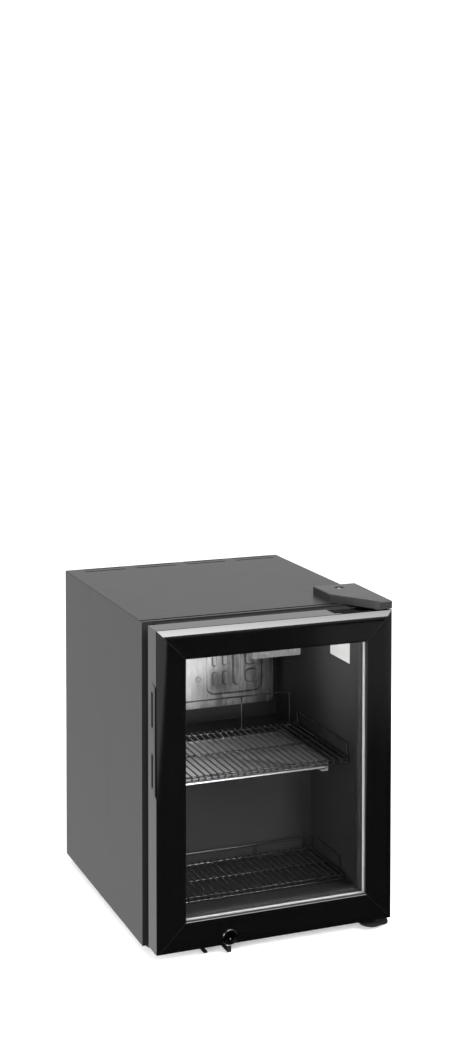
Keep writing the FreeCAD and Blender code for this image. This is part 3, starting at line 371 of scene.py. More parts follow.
@dataclass(frozen=True)
class Metal(Finish):
    """Bare metal with a grain drawn out along one way, uneven in gloss and faintly stained.

    A fade of (start, end, share) paints shade along X: it darkens the colour where the studio's lights leave it too
    bright.
    """

    colour: tuple[float, float, float] = (0.8, 0.8, 0.8)
    roughness: float = 0.3
    drawn: tuple[float, float, float] = (1.0, 1.0, 1.0)
    grain: float = 0.4
    relief: float = 0.01
    stain: float = 0.15
    metallic: float = 1.0
    fade: tuple[float, float, float] = (-1.0, 1.0, 0.0)

    def shader(self, surface: Surface) -> Value:
        """Build the metal's nodes.

        Args:
            surface: The material's node tree.

        Returns:
            The shader.
        """
        lines = surface.noise(self.grain, 3.0, self.drawn)
        stains = surface.noise(22, 5.0, tuple(max(d, 0.3) for d in self.drawn)).rise(0.35, 0.8)
        dull = tuple(c * (1 - 2 * self.stain) for c in self.colour) + (1.0,)
        # Painted shade: the colour darkens along X by the fade's share.
        start, end, share = self.fade
        painted_shade = surface.axes()[0].rise(start, end) * share
        return surface.principled(
            Base_Color=surface.mix(painted_shade, surface.mix(stains, self.colour + (1.0,), dull), grey(0.02)),
            Metallic=self.metallic,
            Roughness=self.roughness - 0.06 + 0.12 * lines + 0.4 * self.stain * stains,
            Normal=surface.bump(lines, self.relief, 0.6),
        )


@dataclass(frozen=True)
class ColdPlate(Finish):
    """Roll-bonded aluminium: streaked and clouded, with painted shade beside its channels and to the right and below.

    The painted shade to the right and below stands for the light inside the room, which the studio's lights don't give.
    """

    level: float = 0.95
    roughness: float = 0.42

    def shader(self, surface: Surface) -> Value:
        """Build the plate's nodes.

        Args:
            surface: The material's node tree.

        Returns:
            The shader.
        """
        x, _, z = surface.axes()
        streaks = surface.noise(5, 6.0, (1.0, 1.0, 0.12))
        clouds = surface.noise(26, 6.0, (1.0, 1.0, 0.6))
        specks = surface.noise(1.6, 2.0).rise(0.6, 0.75)
        # Painted shade: far darkens the plate to the right and below; clouds, streaks and specks are the metal's own
        # tone.
        far = (x.rise(-0.02, 0.09) + 0.6 * (1 - z.rise(0.26, 0.34))).least(1.0)
        dull = far * 0.82 + (clouds - 0.5) * 0.7 + (streaks - 0.5) * 0.5 + 0.1 * specks
        tone = surface.mix(dull.most(0.0).least(0.9), grey(self.level), grey(0.06))
        # Painted shade on the channels' flanks, from a value that the plate's mesh holds.
        channel_shade = surface.attribute("channel_shade")
        return surface.principled(
            Base_Color=surface.mix(channel_shade * 0.75, tone, grey(0.04)),
            Metallic=1.0,
            Roughness=self.roughness - 0.05 + 0.12 * clouds,
            Normal=surface.bump(streaks + 0.5 * clouds, 0.08, 0.5),
        )


@dataclass(frozen=True)
class Spangle(Finish):
    """Hot-dipped zinc sheet with its crystal flowers."""

    level: float = 0.42
    size: float = 11.0

    def shader(self, surface: Surface) -> Value:
        """Build the zinc's nodes.

        Args:
            surface: The material's node tree.

        Returns:
            The shader.
        """
        flowers = surface.cells(self.size)
        flower = surface.node("ShaderNodeSeparateColor", None, {0: flowers})
        needles = surface.noise(1.2, 3.0, (1.0, 1.0, 0.3))
        return surface.principled(
            Base_Color=surface.mix(flower, grey(self.level * 0.72), grey(self.level * 1.25)),
            Metallic=0.9,
            Roughness=0.34 + 0.2 * flower + 0.06 * needles,
            Normal=surface.bump(flower + 0.3 * needles, 0.02, 0.4),
        )


@dataclass(frozen=True)
class ClearSheet(Finish):
    """Clear glass or acrylic: mirrors by angle, lets the rest through and holds a trace of haze."""

    tint: float = 0.96
    mirror: float = 1.0
    haze: float = 0.0

    def shader(self, surface: Surface) -> Value:
        """Build the clear sheet's nodes.

        Args:
            surface: The material's node tree.

        Returns:
            The shader.
        """
        film = surface.noise(50, 5.0)
        gloss = surface.node("ShaderNodeBsdfGlossy", None, {"Roughness": 0.02 + 0.03 * film})
        clear = surface.node("ShaderNodeBsdfTransparent", None, {"Color": grey(self.tint)})
        angle = surface.node("ShaderNodeFresnel", None, {"IOR": 1.5})
        share = angle * self.mirror + self.haze * film
        return surface.node("ShaderNodeMixShader", None, {0: share, 1: clear, 2: gloss})


@dataclass(frozen=True)
class RibbedAcrylic(Finish):
    """Milky acrylic of a lamp cover: partly lets light through and glows where it scatters it."""

    colour: tuple[float, float, float] = (0.34, 0.34, 0.34)
    body: float = 0.62

    def shader(self, surface: Surface) -> Value:
        """Build the acrylic's nodes.

        Args:
            surface: The material's node tree.

        Returns:
            The shader.
        """
        dust = surface.noise(5, 4.0)
        milky = surface.principled(Base_Color=surface.mix(dust, grey(0.2), self.colour + (1.0,)),
                                   Roughness=0.18 + 0.14 * dust)
        clear = surface.node("ShaderNodeBsdfTransparent", None, {"Color": grey(0.9)})
        return surface.node("ShaderNodeMixShader", None, {0: self.body + 0.2 * dust, 1: clear, 2: milky})


SHEET_PAINT = PaintedSheet("sheet_paint")
DOOR_LACQUER = Lacquer("door_lacquer")
ROOM_PLASTIC = Moulded("room_plastic", (0.013, 0.013, 0.013), 0.42, grain=0.8, relief=0.03)
BLACK_PLASTIC = Moulded("black_plastic", (0.01, 0.01, 0.01), 0.34, grain=0.5, shine=0.4)
WHITE_PLASTIC = Moulded("white_plastic", (0.86, 0.86, 0.85), 0.4, grain=0.6, relief=0.01)
SEALANT = Moulded("joint_sealant", (0.008, 0.008, 0.008), 0.4, grain=1.2, relief=0.01)
DIAL_PRINT = Moulded("dial_print", (0.6, 0.6, 0.58), 0.5, grain=0.4, relief=0.005)
FOAM = Moulded("polyurethane_foam", (0.62, 0.5, 0.26), 0.85, grain=2.5, relief=0.6)
POT_ENAMEL = Moulded("pot_enamel", (0.012, 0.012, 0.012), 0.25, grain=2.4, relief=0.05)
BLACK_RUBBER = Rubber("black_rubber", 0.005, 0.4)
GASKET_VINYL = Rubber("gasket_vinyl", 0.005, 0.6, shine=0.2)
# Painted shade: a dark matt strip without sheen for the shade in the roof's front joint.
JOINT_SHADE = Rubber("joint_shade", 0.003, 0.9, shine=0.0)
ZINC = Spangle("zinc_sheet")
PLATE_ALUMINIUM = ColdPlate("plate_aluminium")
SPACER_ALUMINIUM = Metal("spacer_aluminium", (0.4, 0.4, 0.4), 0.42, grain=0.6, stain=0.03, metallic=0.3)
# The tray's fade is painted shade, darker towards its right side.
TRAY_STEEL = Metal("tray_steel", (0.95, 0.95, 0.96), 0.3, (0.08, 1.0, 1.0), grain=0.5, relief=0.004, stain=0.04,
                   metallic=0.4, fade=(-0.12, 0.08, 0.7))
CHROME_WIRE = Metal("chrome_wire", (0.24, 0.24, 0.25), 0.16, grain=1.5, stain=0.12)
LOCK_CHROME = Metal("lock_chrome", (0.03, 0.03, 0.031), 0.14, grain=0.8, relief=0.006, stain=0.1)
KEYWAY_STEEL = Metal("keyway_steel", (0.8, 0.8, 0.8), 0.3, grain=0.8, relief=0.006, stain=0.1)
SCREW_STEEL = Metal("screw_steel", (0.9, 0.9, 0.9), 0.38, grain=0.5, relief=0.02, stain=0.1, metallic=0.35)
COPPER = Metal("copper_tube", (0.72, 0.32, 0.17), 0.3, grain=1.0, relief=0.02, stain=0.3)
PANE_GLASS = ClearSheet("pane_glass")
LENS_ACRYLIC = RibbedAcrylic("lens_acrylic")

NODE_FINISHES: dict[Finish, tuple[str, ...]] = {
    SHEET_PAINT: ("outer_wrap", "top_hinge_plate", "bottom_hinge_plate", "strike_plate"),
    ZINC: ("base_pan", "back_sheet", "rear_cover", "compressor_plate"),
    ROOM_PLASTIC: ("liner", "breaker_frame", "shelf_rails"),
    BLACK_PLASTIC: ("hinge_cover", "grip_insert", "glazing_seal", "pane_retainer", "pane_spacer", "corner_keys",
                    "hinge_bushes", "relay_cover", "thermostat_body", "thermostat_knob", "cable_gland"),
    WHITE_PLASTIC: ("lamp_housing", "wall_plate"),
    FOAM: ("insulation_foam",),
    POT_ENAMEL: ("compressor", "condenser_tube", "condenser_wires"),
    BLACK_RUBBER: ("front_right_foot", "front_left_foot", "rear_feet", "compressor_grommets"),
    GASKET_VINYL: ("door_gasket",),
    PLATE_ALUMINIUM: ("evaporator_plate",),
    TRAY_STEEL: ("drip_tray", "tray_hangers"),
    CHROME_WIRE: ("upper_shelf", "lower_shelf"),
    LOCK_CHROME: ("lock_barrel", "lock_plug", "lock_cam"),
    SCREW_STEEL: ("evaporator_screws", "rear_cover_screws", "top_hinge_screws", "bottom_hinge_screws",
                  "hinge_cover_screw", "compressor_bolts", "top_hinge_pin", "bottom_hinge_pin"),
    COPPER: ("filter_drier", "discharge_pipe", "suction_pipe"),
    DOOR_LACQUER: ("left_stile", "right_stile", "top_rail", "bottom_rail"),
    PANE_GLASS: ("front_pane", "rear_pane"),
    LENS_ACRYLIC: ("lamp_lens",),
}


def dress_nodes() -> None:
    """Give every CAD node its finish and let light through the panes without a shadow."""
    for finish, nodes in NODE_FINISHES.items():
        for node in nodes:
            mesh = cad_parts[node].data
            mesh.materials.clear()
            mesh.materials.append(finish.material())
    missing = set(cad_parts) - {node for nodes in NODE_FINISHES.values() for node in nodes}
    if missing:
        raise ValueError(f"no finish is set for {sorted(missing)}")
    for node in NODE_FINISHES[PANE_GLASS] + NODE_FINISHES[LENS_ACRYLIC]:
        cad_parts[node].visible_shadow = False
    LOG.info("dressed %d nodes", len(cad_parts))


class Facing(Enum):
    """The ways a turned piece can face."""

    UP = (0, 0, 1)
    FRONT = (0, -1, 0)
    REAR = (0, 1, 0)

    def at(self, *where: float) -> Matrix:
        """Give the matrix that stands +Z this way at a point."""
        return Matrix.Translation(where) @ Vector(self.value).to_track_quat("Z", "Y").to_matrix().to_4x4()


class Rounding(Enum):
    """What is rounded off: the corners of a flat outline, or the edges of a solid."""

    CORNERS = "VERTICES"
    EDGES = "EDGES"


def verts_of(made: Iterable[object]) -> list[bmesh.types.BMVert]:
    """Give the vertices among what an operator made."""
    return [part for part in made if isinstance(part, bmesh.types.BMVert)]


def edges_of(made: Iterable[object]) -> list[bmesh.types.BMEdge]:
    """Give the edges among what an operator made."""
    return [part for part in made if isinstance(part, bmesh.types.BMEdge)]


class Shape:
    """A piece in the making, in millimetres, shaped with mesh operators."""

    def __init__(self) -> None:
        """Start an empty shape."""
        self.mesh = bmesh.new()

    @classmethod
    def box(cls, x: Sequence[float], y: Sequence[float], z: Sequence[float], round_by: float) -> Shape:
        """Make a box.

        Args:
            x: Its limits across.
            y: Its limits from front to back.
            z: Its limits upwards.
            round_by: The rounding of its edges.

        Returns:
            The box.
        """
        shape = cls()
        spans = (x, y, z)
        place = Matrix.Translation([(a + b) / 2 for a, b in spans])
        place = place @ Matrix.Diagonal([abs(b - a) for a, b in spans] + [1])
        bmesh.ops.create_cube(shape.mesh, size=1.0, matrix=place)
        return shape.rounded(shape.mesh.edges[:], round_by, 3, Rounding.EDGES)

    @classmethod
    def sheet(cls, place: Matrix, wide: float, tall: float, columns: int = 1, rows: int = 1) -> Shape:
        """Make a flat sheet.

        Args:
            place: Where its middle goes, with +Z out of the sheet.
            wide: Its size along X, before it is placed.
            tall: Its size along Y.
            columns: The faces along X.
            rows: The faces along Y.

        Returns:
            The sheet, open at the back.
        """
        shape = cls()
        bmesh.ops.create_grid(shape.mesh, x_segments=columns, y_segments=rows, size=0.5,
                              matrix=place @ Matrix.Diagonal((wide, tall, 1, 1)))
        return shape

    @classmethod
    def turned(cls, profile: Sequence[tuple[float, float]], place: Matrix, steps: int) -> Shape:
        """Turn a solid about +Z.

        Args:
            profile: The (radius, height) points of its outline.
            place: Where it then goes.
            steps: How many faces it has round the axis.

        Returns:
            The turned shape.
        """
        shape = cls()
        points = [shape.mesh.verts.new((r, 0, h)) for r, h in profile]
        edges = [shape.mesh.edges.new(pair) for pair in zip(points, points[1:])]
        bmesh.ops.spin(shape.mesh, geom=points + edges, cent=(0, 0, 0), axis=(0, 0, 1), angle=math.tau,
                       steps=steps, use_merge=True)
        return shape.cleaned().moved(place)

    def cleaned(self) -> Shape:
        """Merge doubled vertices and turn every face outwards."""
        bmesh.ops.remove_doubles(self.mesh, verts=self.mesh.verts, dist=1e-4)
        bmesh.ops.recalc_face_normals(self.mesh, faces=self.mesh.faces)
        return self

    def moved(self, place: Matrix) -> Shape:
        """Put the whole shape somewhere else."""
        bmesh.ops.transform(self.mesh, matrix=place, verts=self.mesh.verts)
        return self

    def rounded(self, parts: Sequence[object], width: float, segments: int, what: Rounding) -> Shape:
        """Round vertices or edges off by a width, with a number of faces across."""
        bmesh.ops.bevel(self.mesh, geom=parts, offset=width, offset_type="OFFSET", segments=segments, profile=0.5,
                        affect=what.value, material=-1)
        return self

    def rim(self) -> list[bmesh.types.BMEdge]:
        """Give the edges that border a hole."""
        return [edge for edge in self.mesh.edges if edge.is_boundary]

    def filled(self) -> Shape:
        """Close every hole."""
        bmesh.ops.holes_fill(self.mesh, edges=self.rim())
        return self

    def drawn(self, ring: Sequence[bmesh.types.BMEdge]) -> tuple[list, list]:
        """Draw walls out from a ring of edges and give the new vertices and edges, still in place."""
        made = bmesh.ops.extrude_edge_only(self.mesh, edges=ring)["geom"]
        return verts_of(made), edges_of(made)

    def pressed(self, faces: Sequence[bmesh.types.BMFace], run: float, rise: float) -> None:
        """Inset a region of faces by a run and lift it by a rise."""
        bmesh.ops.inset_region(self.mesh, faces=faces, thickness=run, depth=0.0, use_boundary=True,
                               use_even_offset=True)
        bmesh.ops.translate(self.mesh, vec=(0, 0, rise), verts=list({v for f in faces for v in f.verts}))

    def add(self, *others: Shape) -> Shape:
        """Take other shapes into this one."""
        for other in others:
            carrier = bpy.data.meshes.new("carrier")
            other.mesh.to_mesh(carrier)
            other.mesh.free()
            self.mesh.from_mesh(carrier)
            bpy.data.meshes.remove(carrier)
        return self

    def install(self, name: str, body: str, slot: str, finishes: Sequence[Finish], stands_for: Iterable[str] = (),
                sharp: float = 35.0) -> bpy.types.Object:
        """Make the shape a piece of the fridge.

        Args:
            name: The piece's name.
            body: The CAD body that it rides on.
            slot: The record's material slot; it is not used.
            finishes: Its finishes, by the faces' indices.
            stands_for: The CAD nodes that it replaces.
            sharp: The angle in degrees above which an edge shows as sharp.

        Returns:
            The piece.
        """
        bmesh.ops.scale(self.mesh, vec=(MM, MM, MM), verts=self.mesh.verts)
        mesh = bpy.data.meshes.new(name)
        self.mesh.to_mesh(mesh)
        self.mesh.free()
        mesh.polygons.foreach_set("use_smooth", [True] * len(mesh.polygons))
        mesh.set_sharp_from_angle(angle=math.radians(sharp))
        for finish in finishes:
            mesh.materials.append(finish.material())
        piece = bpy.data.objects.new(name, mesh)
        bpy.context.scene.collection.objects.link(piece)
        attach(piece, body)
        if stands_for:
            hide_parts(*stands_for)
        LOG.info("%s: %d faces on %s", name, len(mesh.polygons), body)
        return piece


def limits(node: str) -> tuple[Vector, Vector, Vector]:
    """Give the lowest corner, the highest corner and the middle of a CAD node in millimetres."""
    low, high = (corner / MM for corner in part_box(node))
    return low, high, (low + high) / 2


def draw_in(verts: Iterable[bmesh.types.BMVert], centre: Vector, inset: float, back: float) -> None:
    """Move vertices of an upright frame.

    Args:
        verts: The vertices.
        centre: The frame's centre.
        inset: How far in towards the centre they go.
        back: How far back they go.
    """
    for vert in verts:
        vert.co.x -= inset * math.copysign(1.0, vert.co.x - centre.x)
        vert.co.z -= inset * math.copysign(1.0, vert.co.z - centre.z)
        vert.co.y += back


def ring_sweep(profile: Sequence[tuple[float, float]], x: Sequence[float], z: Sequence[float],
               corner: float = 0.0, steps: int = 5) -> Shape:
    """Sweep a closed profile round a rectangle that stands in the door's plane.

    Args:
        profile: Its (inset, depth) points: how far inside the rectangle, and the Y coordinate.
        x: The rectangle's limits across.
        z: Its limits upwards.
        corner: The radius of its corners, or 0 for mitres.
        steps: The faces round each corner.

    Returns:
        The closed frame.
    """
    centre = Vector(((x[0] + x[1]) / 2, 0, (z[0] + z[1]) / 2))
    place = Matrix.Translation((centre.x, profile[0][1], centre.z)) @ Matrix.Rotation(math.pi / 2, 4, "X")
    shape = Shape.sheet(place, x[1] - x[0], z[1] - z[0])
    mesh = shape.mesh
    if corner:
        shape.rounded(mesh.verts[:], corner, steps, Rounding.CORNERS)
    bmesh.ops.delete(mesh, geom=mesh.faces[:], context="FACES_ONLY")
    ring = mesh.edges[:]
    draw_in(mesh.verts, centre, profile[0][0], 0.0)
    for (inset, depth), (next_inset, next_depth) in zip(profile, tuple(profile[1:]) + (profile[0],)):
        verts, ring = shape.drawn(ring)
        draw_in(verts, centre, next_inset - inset, next_depth - depth)
    return shape.cleaned()


@dataclass(frozen=True)
class CrossScrew:
    """A pan-head screw with a cross recess; the pairs are shares of its radius and its height."""

    radius: float
    height: float
    arm: float = 0.55
    reach: float = 0.55
    flat: float = 0.72
    dome: tuple[tuple[float, float], ...] = ((0.9, 0.8), (1.0, 0.45), (1.0, 0.0))
    recess: tuple[float, float] = (0.7, 0.45)
    sides: int = 24

    def head(self, place: Matrix) -> Shape:
        """Build the head.

        Args:
            place: Where its underside stands, +Z out of the work.

        Returns:
            The head, closed.
        """
        thin, reach = self.arm, self.reach * self.radius
        shape = Shape()
        mesh = shape.mesh
        top = Matrix.Translation((0, 0, self.height))
        rim = bmesh.ops.create_circle(mesh, segments=self.sides, radius=self.flat * self.radius, matrix=top)["verts"]
        # Three corners to each of the cross's four arms
        plus = bmesh.ops.create_circle(mesh, segments=12, radius=reach, matrix=top)["verts"]
        plus.sort(key=lambda v: math.atan2(v.co.y, v.co.x) % math.tau)
        corners = [(reach, -thin), (reach, thin), (thin, thin)]
        for number, vert in enumerate(plus):
            corner = Vector(corners[(number + 1) % 3])
            vert.co.xy = Matrix.Rotation(math.pi / 2 * ((number + 1) // 3), 2) @ corner
        bmesh.ops.bridge_loops(mesh, edges=mesh.edges[:])
        ring = [e for e in mesh.edges if all(v in rim for v in e.verts)]
        floor = [e for e in mesh.edges if all(v in plus for v in e.verts)]
        for radius, height in self.dome:
            size = math.hypot(*ring[0].verts[0].co.xy)
            ring = self.stepped(shape, ring, radius * self.radius / size, height * self.height)
        bmesh.ops.holes_fill(mesh, edges=ring)
        floor = self.stepped(shape, floor, self.recess[0], self.recess[1] * self.height)
        bmesh.ops.holes_fill(mesh, edges=floor)
        return shape.cleaned().moved(place)

    @staticmethod
    def stepped(shape: Shape, ring: list[bmesh.types.BMEdge], scale: float, height: float) -> list:
        """Draw a ring of edges out to a new size and height.

        Args:
            shape: The head in the making.
            ring: The edges.
            scale: The new size, as a share of the present one.
            height: The new height.

        Returns:
            The new ring.
        """
        verts, new_ring = shape.drawn(ring)
        for vert in verts:
            vert.co = (vert.co.x * scale, vert.co.y * scale, height)
        return new_ring


@dataclass
class Screws:
    """The fasteners that show: cross-recess pan heads where the CAD has plain ones."""

    rear: CrossScrew = CrossScrew(3.8, 2.2)
    rear_face: float = 227.8
    rear_at: tuple[tuple[float, float], ...] = tuple((x, z) for x in (-181.0, 181.0) for z in (24.0, 248.0, 476.0))
    plate: CrossScrew = CrossScrew(5.0, 2.6)
    plate_face: float = 146.5
    plate_at: tuple[tuple[float, float], ...] = ((15.0, 305.6), (15.0, 412.0), (-113.0, 362.0), (143.0, 362.0))
    shank: tuple[float, float] = (2.0, 11.0)
    shank_sides: int = 16

    def build(self) -> None:
        """Build the screws of the rear cover and of the cold plate, the second kind with their shanks."""
        heads = Shape()
        for x, z in self.rear_at:
            heads.add(self.rear.head(Facing.REAR.at(x, self.rear_face, z)))
        heads.install("rear_cover_screw_heads", "cabinet", "screw_steel", [SCREW_STEEL], ["rear_cover_screws"])
        screws = Shape()
        radius, length = self.shank
        for x, z in self.plate_at:
            screws.add(self.plate.head(Facing.FRONT.at(x, self.plate_face, z)))
            screws.add(Shape.turned([(0, 0), (radius, 0), (radius, length), (0, length)],
                                    Facing.REAR.at(x, self.plate_face, z), self.shank_sides))
        screws.install("evaporator_screw_heads", "cabinet", "screw_steel", [SCREW_STEEL], ["evaporator_screws"])


@dataclass
class Evaporator:
    """The cold plate: two sheets bonded together, with the channels blown up between them."""

    step: float = 0.95
    corner: float = 9.0
    recess: float = 1.5
    rise: float = 0.7
    slope: float = 1.7
    field_wide: float = 100.0
    field_lefts: tuple[float, ...] = (-107.0, 29.0)
    field_low: float = 277.0
    field_high: float = 430.0
    field_corner: float = 14.0
    long_island: tuple[float, ...] = (48.5, 60.5, 292.0, 426.0, 5.9)
    slot_lefts: tuple[float, ...] = (11.6, 30.0)
    slot_lows: tuple[float, ...] = (294.0, 326.0)
    slot_size: tuple[float, float, float] = (6.4, 20.0, 3.1)
    square_left: float = 70.5
    square_lows: tuple[float, ...] = (294.0, 324.0, 370.0)
    square_size: tuple[float, float, float] = (20.0, 20.0, 6.0)

    def islands(self, field_left: float) -> list[tuple[float, ...]]:
        """List the unblown islands of a field of channels.

        Args:
            field_left: The field's left edge.

        Returns:
            Their (left, right, low, high, corner radius).
        """
        left, right, low, high, radius = self.long_island
        found = [(field_left + left, field_left + right, low, high, radius)]
        corners = [(left, low, self.slot_size) for left in self.slot_lefts for low in self.slot_lows]
        corners += [(self.square_left, low, self.square_size) for low in self.square_lows]
        for left, low, (wide, tall, radius) in corners:
            found.append((field_left + left, field_left + left + wide, low, low + tall, radius))
        return found

    @staticmethod
    def gap(x: float, z: float, area: tuple[float, ...]) -> float:
        """Measure from a point of the plate to a rounded area.

        Args:
            x: The point's place across.
            z: Its height.
            area: The area's (left, right, low, high, corner radius).

        Returns:
            The distance, negative inside the area.
        """
        left, right, low, high, radius = area
        across = abs(x - (left + right) / 2) - (right - left) / 2 + radius
        up = abs(z - (low + high) / 2) - (high - low) / 2 + radius
        outside = math.hypot(max(across, 0.0), max(up, 0.0))
        return outside + min(max(across, up), 0.0) - radius

    def share(self, x: float, z: float) -> float:
        """Tell how far up a channel's flank a point of the plate is.

        Args:
            x: The point's place across.
            z: Its height.

        Returns:
            0 at the flank's foot or off the channels, 1 on a channel.
        """
        raised = 0.0
        for left in self.field_lefts:
            area = (left, left + self.field_wide, self.field_low, self.field_high, self.field_corner)
            depth = min([-self.gap(x, z, area)] + [self.gap(x, z, island) for island in self.islands(left)])
            raised = max(raised, min(max(depth / self.slope, 0.0), 1.0))
        return raised

    def build(self) -> None:
        """Build the plate in place of the plain one."""
        low, high, middle = limits("evaporator_plate")
        size = high - low
        place = Matrix.Translation((middle.x, high.y, middle.z)) @ Matrix.Rotation(math.pi / 2, 4, "X")
        shape = Shape.sheet(place, size.x, size.z, round(size.x / self.step), round(size.z / self.step))
        mesh = shape.mesh
        inner = Vector((size.x / 2 - self.corner, size.z / 2 - self.corner))
        for vert in mesh.verts:
            out = Vector((abs(vert.co.x - middle.x) - inner.x, abs(vert.co.z - middle.z) - inner.y))
            if min(out) > 0:
                out *= max(out) / out.length
                vert.co.x = middle.x + math.copysign(inner.x + out.x, vert.co.x - middle.x)
                vert.co.z = middle.z + math.copysign(inner.y + out.y, vert.co.z - middle.z)
        # A value for painted shade on the channels' flanks, strongest halfway up each flank.
        channel_shade = mesh.verts.layers.float.new("channel_shade")
        made = set(bmesh.ops.extrude_face_region(mesh, geom=mesh.faces[:])["geom"])
        bmesh.ops.delete(mesh, geom=[f for f in mesh.faces if f.calc_center_median().y > high.y - 0.01
                                     and abs(f.normal.y) > 0.5 and f not in made], context="FACES_ONLY")
        for vert in verts_of(made):
            share = self.share(vert.co.x, vert.co.z)
            vert.co.y = low.y + self.recess - self.rise * share * share * (3 - 2 * share)
            vert[channel_shade] = 4 * share * (1 - share)
        shape.filled()
        bmesh.ops.recalc_face_normals(mesh, faces=mesh.faces)
        shape.install("evaporator_skin", "cabinet", "plate_aluminium", [PLATE_ALUMINIUM], ["evaporator_plate"], 50)


@dataclass
class Lamp:
    """The lamp on the room's ceiling: a clear ribbed cover on a white housing."""

    pitch: float = 3.2
    end: float = 5.0
    groove: float = 1.8
    corner: float = 3.0
    bevel: float = 0.5

    def build(self) -> None:
        """Build the ribbed cover in place of the plain one."""
        low, high, middle = limits("lamp_lens")
        place = Matrix.Translation((low.x, middle.y, middle.z)) @ Matrix.Rotation(math.pi / 2, 4, "Y")
        shape = Shape.sheet(place, high.z - low.z, high.y - low.y)
        mesh = shape.mesh
        shape.rounded([v for v in mesh.verts if v.co.z < middle.z], self.corner, 4, Rounding.CORNERS)
        ribs = int((high.x - low.x - 2 * self.end) / self.pitch)
        spare = (high.x - low.x - ribs * self.pitch) / 2
        squeeze = 1 - 2 * self.groove / (high.y - low.y)
        rib = [(self.pitch * 0.15, squeeze), (self.pitch * 0.4, squeeze), (self.pitch * 0.15, 1.0),
               (self.pitch * 0.3, 1.0)]
        steps = [(self.bevel, 1.0), (spare - self.bevel, 1.0), *(rib * ribs), (spare, 1.0)]
        now = 1.0
        front = mesh.faces[:]
        for run, scale in steps:
            made = bmesh.ops.extrude_face_region(mesh, geom=front)["geom"]
            bmesh.ops.delete(mesh, geom=front, context="FACES_ONLY")
            front = [part for part in made if isinstance(part, bmesh.types.BMFace)]
            for vert in verts_of(made):
                vert.co.x += run
                vert.co.y = middle.y + (vert.co.y - middle.y) * scale / now
                vert.co.z = high.z + (vert.co.z - high.z) * scale / now
            now = scale
        cover = shape.filled().cleaned().install("ribbed_lamp_cover", "cabinet", "lens_plastic", [LENS_ACRYLIC],
                                                 ["lamp_lens"])
        cover.visible_shadow = False


@dataclass
class DoorSeals:
    """What closes the door: the magnetic gasket, and the spacer between the panes with its pin holes."""

    gasket_wide: float = 11.0
    gasket_corner: float = 1.5
    corner_steps: int = 3
    bellows: tuple[tuple[float, float], ...] = (
        (1.0, 0.0), (0.2, 1.2), (0.0, 2.6), (0.5, 4.2), (2.6, 5.6), (1.7, 7.4), (2.7, 9.2), (0.8, 10.6),
        (0.0, 12.4), (0.2, 14.4))
    magnet_edge: tuple[tuple[float, float], ...] = ((1.0, 0.3), (2.4, 0.0))
    hole_pitch: float = 3.9
    hole_rim: float = 0.3
    hole_deep: float = 0.2
    strip: float = 0.35
    behind_lip: float = 2.5

    def gasket(self) -> None:
        """Build the gasket with its bellows in place of the plain one."""
        low, high, _ = limits("door_gasket")
        half = [(inset, low.y + depth) for inset, depth in self.bellows]
        half += [(inset, high.y - short) for inset, short in self.magnet_edge]
        profile = half + [(self.gasket_wide - inset, depth) for inset, depth in reversed(half)]
        shape = ring_sweep(profile, (low.x, high.x), (low.z, high.z), self.gasket_corner, self.corner_steps)
        shape.install("magnetic_gasket", "door", "black_rubber", [GASKET_VINYL], ["door_gasket"], 60)

    def spacer(self) -> None:
        """Build the spacer in place of the plain one: a frame behind the lips, with perforated inner faces."""
        low, high, middle = limits("pane_spacer")
        lip, rail = limits("right_stile")[0].x, limits("bottom_rail")[1].z
        inner = Vector((lip + self.behind_lip, 0, middle.z - rail + self.behind_lip))
        outer = (high - low) / 2
        wide = high.y - low.y
        wall = min(outer.x - inner.x, outer.z - inner.z)
        profile = [(0.0, low.y), (wall - self.strip, low.y), (wall - self.strip, high.y), (0.0, high.y)]
        shape = ring_sweep(profile, (middle.x - inner.x - wall, middle.x + inner.x + wall),
                           (middle.z - inner.z - wall, middle.z + inner.z + wall))
        for turn in range(4):
            reach, half_long = (inner.z, inner.x) if turn % 2 else (inner.x, inner.z)
            shape.add(self.perforated(2 * half_long, wide, reach, turn, middle))
        shape.install("perforated_spacer", "door", "spacer_aluminium", [SPACER_ALUMINIUM, BLACK_RUBBER],
                      ["pane_spacer"])

    def perforated(self, length: float, wide: float, reach: float, turn: int, middle: Vector) -> Shape:
        """Build one inner face.

        Args:
            length: Its length.
            wide: Its width from pane to pane.
            reach: How far it lies from the door's middle.
            turn: How many quarter turns it stands from the right side.
            middle: The door's middle.

        Returns:
            The closed strip with its row of small dents, whose black floors are painted shade for pin holes.
        """
        cells = 2 * round(length / self.hole_pitch)
        run = (length - 2 * self.strip) / cells
        shape = Shape.sheet(Matrix.Identity(4), length - 2 * self.strip, wide, cells, 3)
        mesh = shape.mesh
        holes = [f for f in mesh.faces if abs(f.calc_center_median().y) < wide / 6
                 and round(f.calc_center_median().x / run - 0.5) % 2]
        bmesh.ops.inset_individual(mesh, faces=holes, thickness=self.hole_rim, depth=0.0)
        # Painted shade: the dents' floors take the black rubber finish for the dark inside of the pin holes.
        for face in holes:
            face.material_index = 1
            for vert in face.verts:
                vert.co.z -= self.hole_deep
        for vert in shape.drawn(shape.rim())[0]:
            vert.co.z = -self.strip
        place = Matrix.Translation(middle) @ Matrix.Rotation(turn * math.pi / 2, 4, "Y")
        place = place @ Matrix.Translation((reach - self.strip, 0, 0)) @ Matrix.Rotation(-math.pi / 2, 4, "Y")
        return shape.filled().cleaned().moved(place)

    def build(self) -> None:
        """Build the seals."""
        self.gasket()
        self.spacer()


